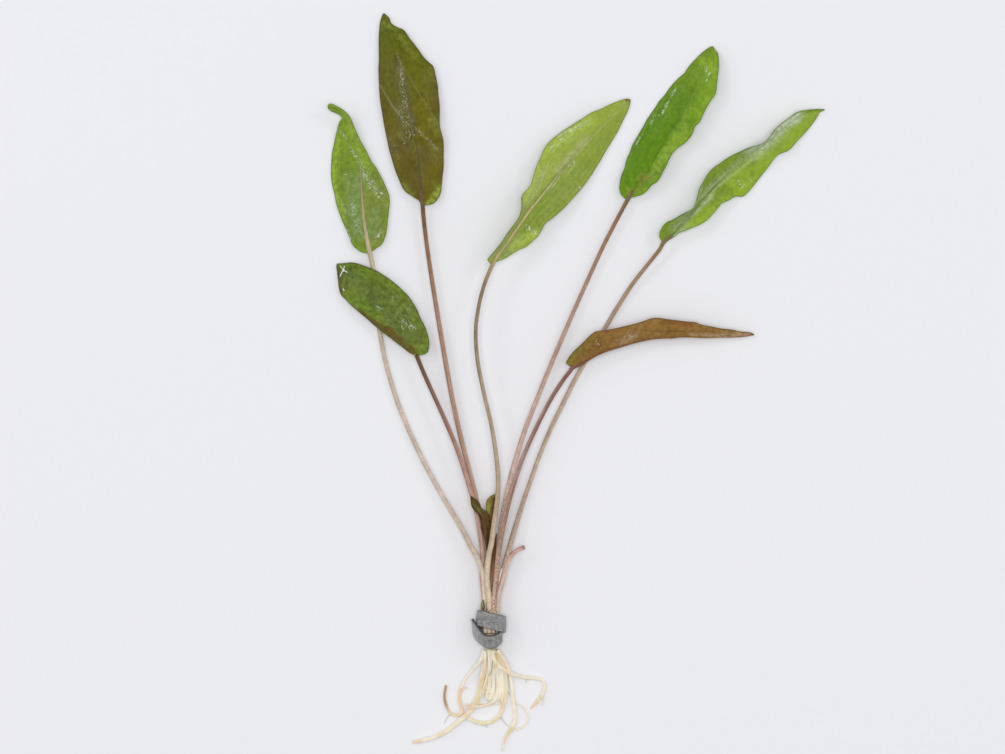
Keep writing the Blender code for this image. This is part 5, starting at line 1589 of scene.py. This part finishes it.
def buildStrip():
    upper = np.array([place(*bend[0]) for bend in strip["bends"]])
    lower = np.array([place(*bend[1]) for bend in strip["bends"]])
    knots = lengthKnots(0.5 * (upper + lower))
    at = np.linspace(0, knots[-1], strip["rows"])
    upper = smoothLine(upper, knots, at)
    lower = smoothLine(lower, knots, at)
    middle = 0.5 * (upper + lower)
    halfWidth = 0.5 * np.linalg.norm(lower - upper, axis=1)
    wide = unit(lower - upper)
    outward = unit(np.cross(unit(np.gradient(middle, axis=0)), wide))

    # once round the section: across is -1 at the upper edge, through is 1 on the outer face
    face = np.linspace(-1, 1, strip["facePlaces"])
    edge = np.array(strip["edgePlaces"])
    across = np.concatenate([face, np.ones(len(edge)), face[::-1], -np.ones(len(edge))])
    through = np.concatenate([np.ones(len(face)), edge, -np.ones(len(face)), -edge])
    onEdge = np.abs(through) < 1
    cornerMm = np.where((np.abs(across) == 1) & ~onEdge, strip["cornerMm"], 0.0)
    reach = across * (halfWidth[:, None] - cornerMm * mm)
    depth = through * (0.5 * strip["thicknessMm"] - strip["cornerDrop"] * cornerMm) * mm
    grid = middle[:, None] + wide[:, None] * reach[..., None] + outward[:, None] * depth[:, None]
    dentsMm = sum(depthMm * noiseAt(grid, perMetre, seed) for perMetre, depthMm, seed in strip["dents"])
    grid += outward[:, None] * (dentsMm * mm)[..., None]
    grid[..., 2] = np.maximum(grid[..., 2], 0.0)

    # darker cut edges and ends, painted shade along the upper edge, the loose end painted lighter as
    # painted light
    cut = np.select([onEdge, across <= -0.99, across <= -0.87], strip["cutDark"])
    cut = np.tile(cut, (strip["rows"], 1))
    cut[:2] = strip["endDark"]
    cut[-2:] = strip["endDark"]
    paintedLitEnd = 1 - softStep(*strip["paintedLitEndSpan"], np.linspace(0, 1, strip["rows"]))[:, None]
    masks = {"cut": cut, "paintedLitEnd": np.broadcast_to(paintedLitEnd, cut.shape)}
    piece = meshFromGrid("weightStrip", grid, masks, tube=True)
    rounding = piece.modifiers.new("Worn corners", "BEVEL")
    rounding.width = strip["bevelMm"] * mm
    rounding.segments = 2
    rounding.limit_method = "ANGLE"
    rounding.angle_limit = math.radians(strip["bevelAngle"])
    piece.data.set_sharp_from_angle(angle=math.radians(strip["sharpAngle"]))
    finishPiece(piece, leadMaterial("sheetLead"), ["weight_strip"])


buildStrip()

# The dried scale beside the stalk bases, with a few loose fibres
driedScale = {
    "name": "driedScale", "node": "dried_scale", "slot": "brown_leaf",
    "left": [(480.6, 608), (480.8, 603.6), (481.6, 600.4), (482.3, 598.6)],
    "right": [(483.9, 608), (483.8, 604), (483.3, 600.6), (482.6, 598.6)],
    "midrib": [(482.4, 608), (482.4, 604), (482.4, 600.6), (482.45, 598.6)],
    "leftHeights": [5.2, 5.5, 6.0, 6.3], "rightHeights": [7.0, 7.0, 6.9, 6.5],
    "midribHeights": [6.1, 6.2, 6.4, 6.4],
    "bulge": 0.05, "ribWidthMm": 0.3, "seed": 12,
    "creases": [], "brown": [([(484, 600), (484.4, 608)], 0.4)],
    "palette": {
        "left": "#A4A07A", "right": "#B4AE88", "light": "#BEBA96", "deep": "#8E8A64",
        "vein": "#86824E", "margin": "#86824E", "sheen": "#8C8C64", "bright": "#A4A05E",
        "brown": "#6A5A34", "rib": "#7A6A44", "rim": "#5A5030", "crease": "#6A6040",
    },
}
buildBlade(driedScale, young=True)

dryFibre = stalkMaterial(
    "driedFibre", [(0.0, "#4A3018"), (0.5, "#5A3A1E"), (1.0, "#6A4A2A")], "#2E1C0E", "#7A5A3A", wet=0.1)
driedFibres = {
    "radii": [0.12, 0.16, 0.08],
    "rows": 20,
    "sides": 8,
    "roughen": 0.2,
    "routes": [
        [(483.4, 611, 7.9), (483.2, 608, 8.0), (484, 605.5, 7.6)],
        [(485.2, 611, 8.3), (486, 608.6, 8.2), (487.4, 607.4, 8.1)],
        [(481.8, 610.6, 7.4), (481.6, 608, 7.5), (482.6, 606, 7.2)],
        [(487.6, 611.4, 8.4), (489, 609.6, 8.3), (490.6, 609.2, 8.2)],
    ],
}
for index, points in enumerate(driedFibres["routes"]):
    piece = buildTube(
        f"driedFibre{index + 1}", routeOf(points, driedFibres["rows"]), driedFibres["radii"],
        driedFibres["sides"], driedFibres["roughen"], 90 + index)
    finishPiece(piece, dryFibre)
print("strip and scale done")


# Floor, light and camera

studio = {
    "floorSize": 4.0,
    "floorBelowMm": 0.02,
    "floorColor": "#ECECEF",
    "floorFinish": {"Roughness": 0.6, "Specular IOR Level": 0.2},
    "worldColor": (0.95, 0.97, 1.0),
    "worldStrength": 0.3,
    "cameraDistance": 2.5,
    "sensorMm": 36.0,
}

halfFloor = studio["floorSize"] / 2
floorGrid = np.array([[(x, y, 0.0) for x in (-halfFloor, halfFloor)] for y in (-halfFloor, halfFloor)])
floor = meshFromGrid("floor", floorGrid, {})
floor.location.z = -studio["floorBelowMm"] * mm
floorMaterial = newMaterial("paleBoard")[0]
finishMaterial(floorMaterial, {"Base Color": studio["floorColor"], **studio["floorFinish"]})
floor.data.materials.append(floorMaterial)

# one big box straight above keeps the shadows under the plant and shows in no reflection,
# the wide boxes on both sides model the shapes, the two small ones give the sharp glints
softBoxes = [
    {"name": "overheadBox", "at": (0.0, 0.0, 2.9), "size": (1.3, 1.2), "power": 38.0,
     "inReflections": False},
    {"name": "leftWideBox", "at": (-1.15, -0.06, 1.05), "size": (1.5, 1.7), "power": 4.6},
    {"name": "rightWideBox", "at": (1.15, -0.06, 1.05), "size": (1.5, 1.7), "power": 4.2},
    {"name": "leftGlintBox", "at": (-0.75, 0.55, 0.85), "size": (0.16, 0.3), "power": 1.3},
    {"name": "rightGlintBox", "at": (0.8, 0.5, 0.85), "size": (0.16, 0.3), "power": 1.1},
]
for box in softBoxes:
    light = bpy.data.lights.new(box["name"], "AREA")
    light.shape = "RECTANGLE"
    light.size, light.size_y = box["size"]
    light.energy = box["power"]
    lamp = addToScene(box["name"], light)
    lamp.location = box["at"]
    lamp.rotation_euler = (-Vector(box["at"])).to_track_quat("-Z", "Y").to_euler()
    lamp.visible_glossy = box.get("inReflections", True)

world = bpy.data.worlds.new("paleRoom")
bpy.context.scene.world = world
world.use_nodes = True
background = world.node_tree.nodes["Background"]
background.inputs["Color"].default_value = (*studio["worldColor"], 1.0)
background.inputs["Strength"].default_value = studio["worldStrength"]

# it looks straight down, and the picture's middle stands in the middle of its view
camera = bpy.data.cameras.new("overheadCamera")
cameraObject = addToScene("overheadCamera", camera)
middleOfView = place((picture["width"] - 1) / 2, (picture["height"] - 1) / 2)
cameraObject.location = (middleOfView[0], middleOfView[1], studio["cameraDistance"])
camera.sensor_width = studio["sensorMm"]
camera.lens = studio["sensorMm"] * studio["cameraDistance"] / (picture["width"] * metresPerPoint)
camera.clip_end = 20.0
bpy.context.scene.camera = cameraObject
bpy.context.scene.view_settings.view_transform = "Standard"
print("studio done")
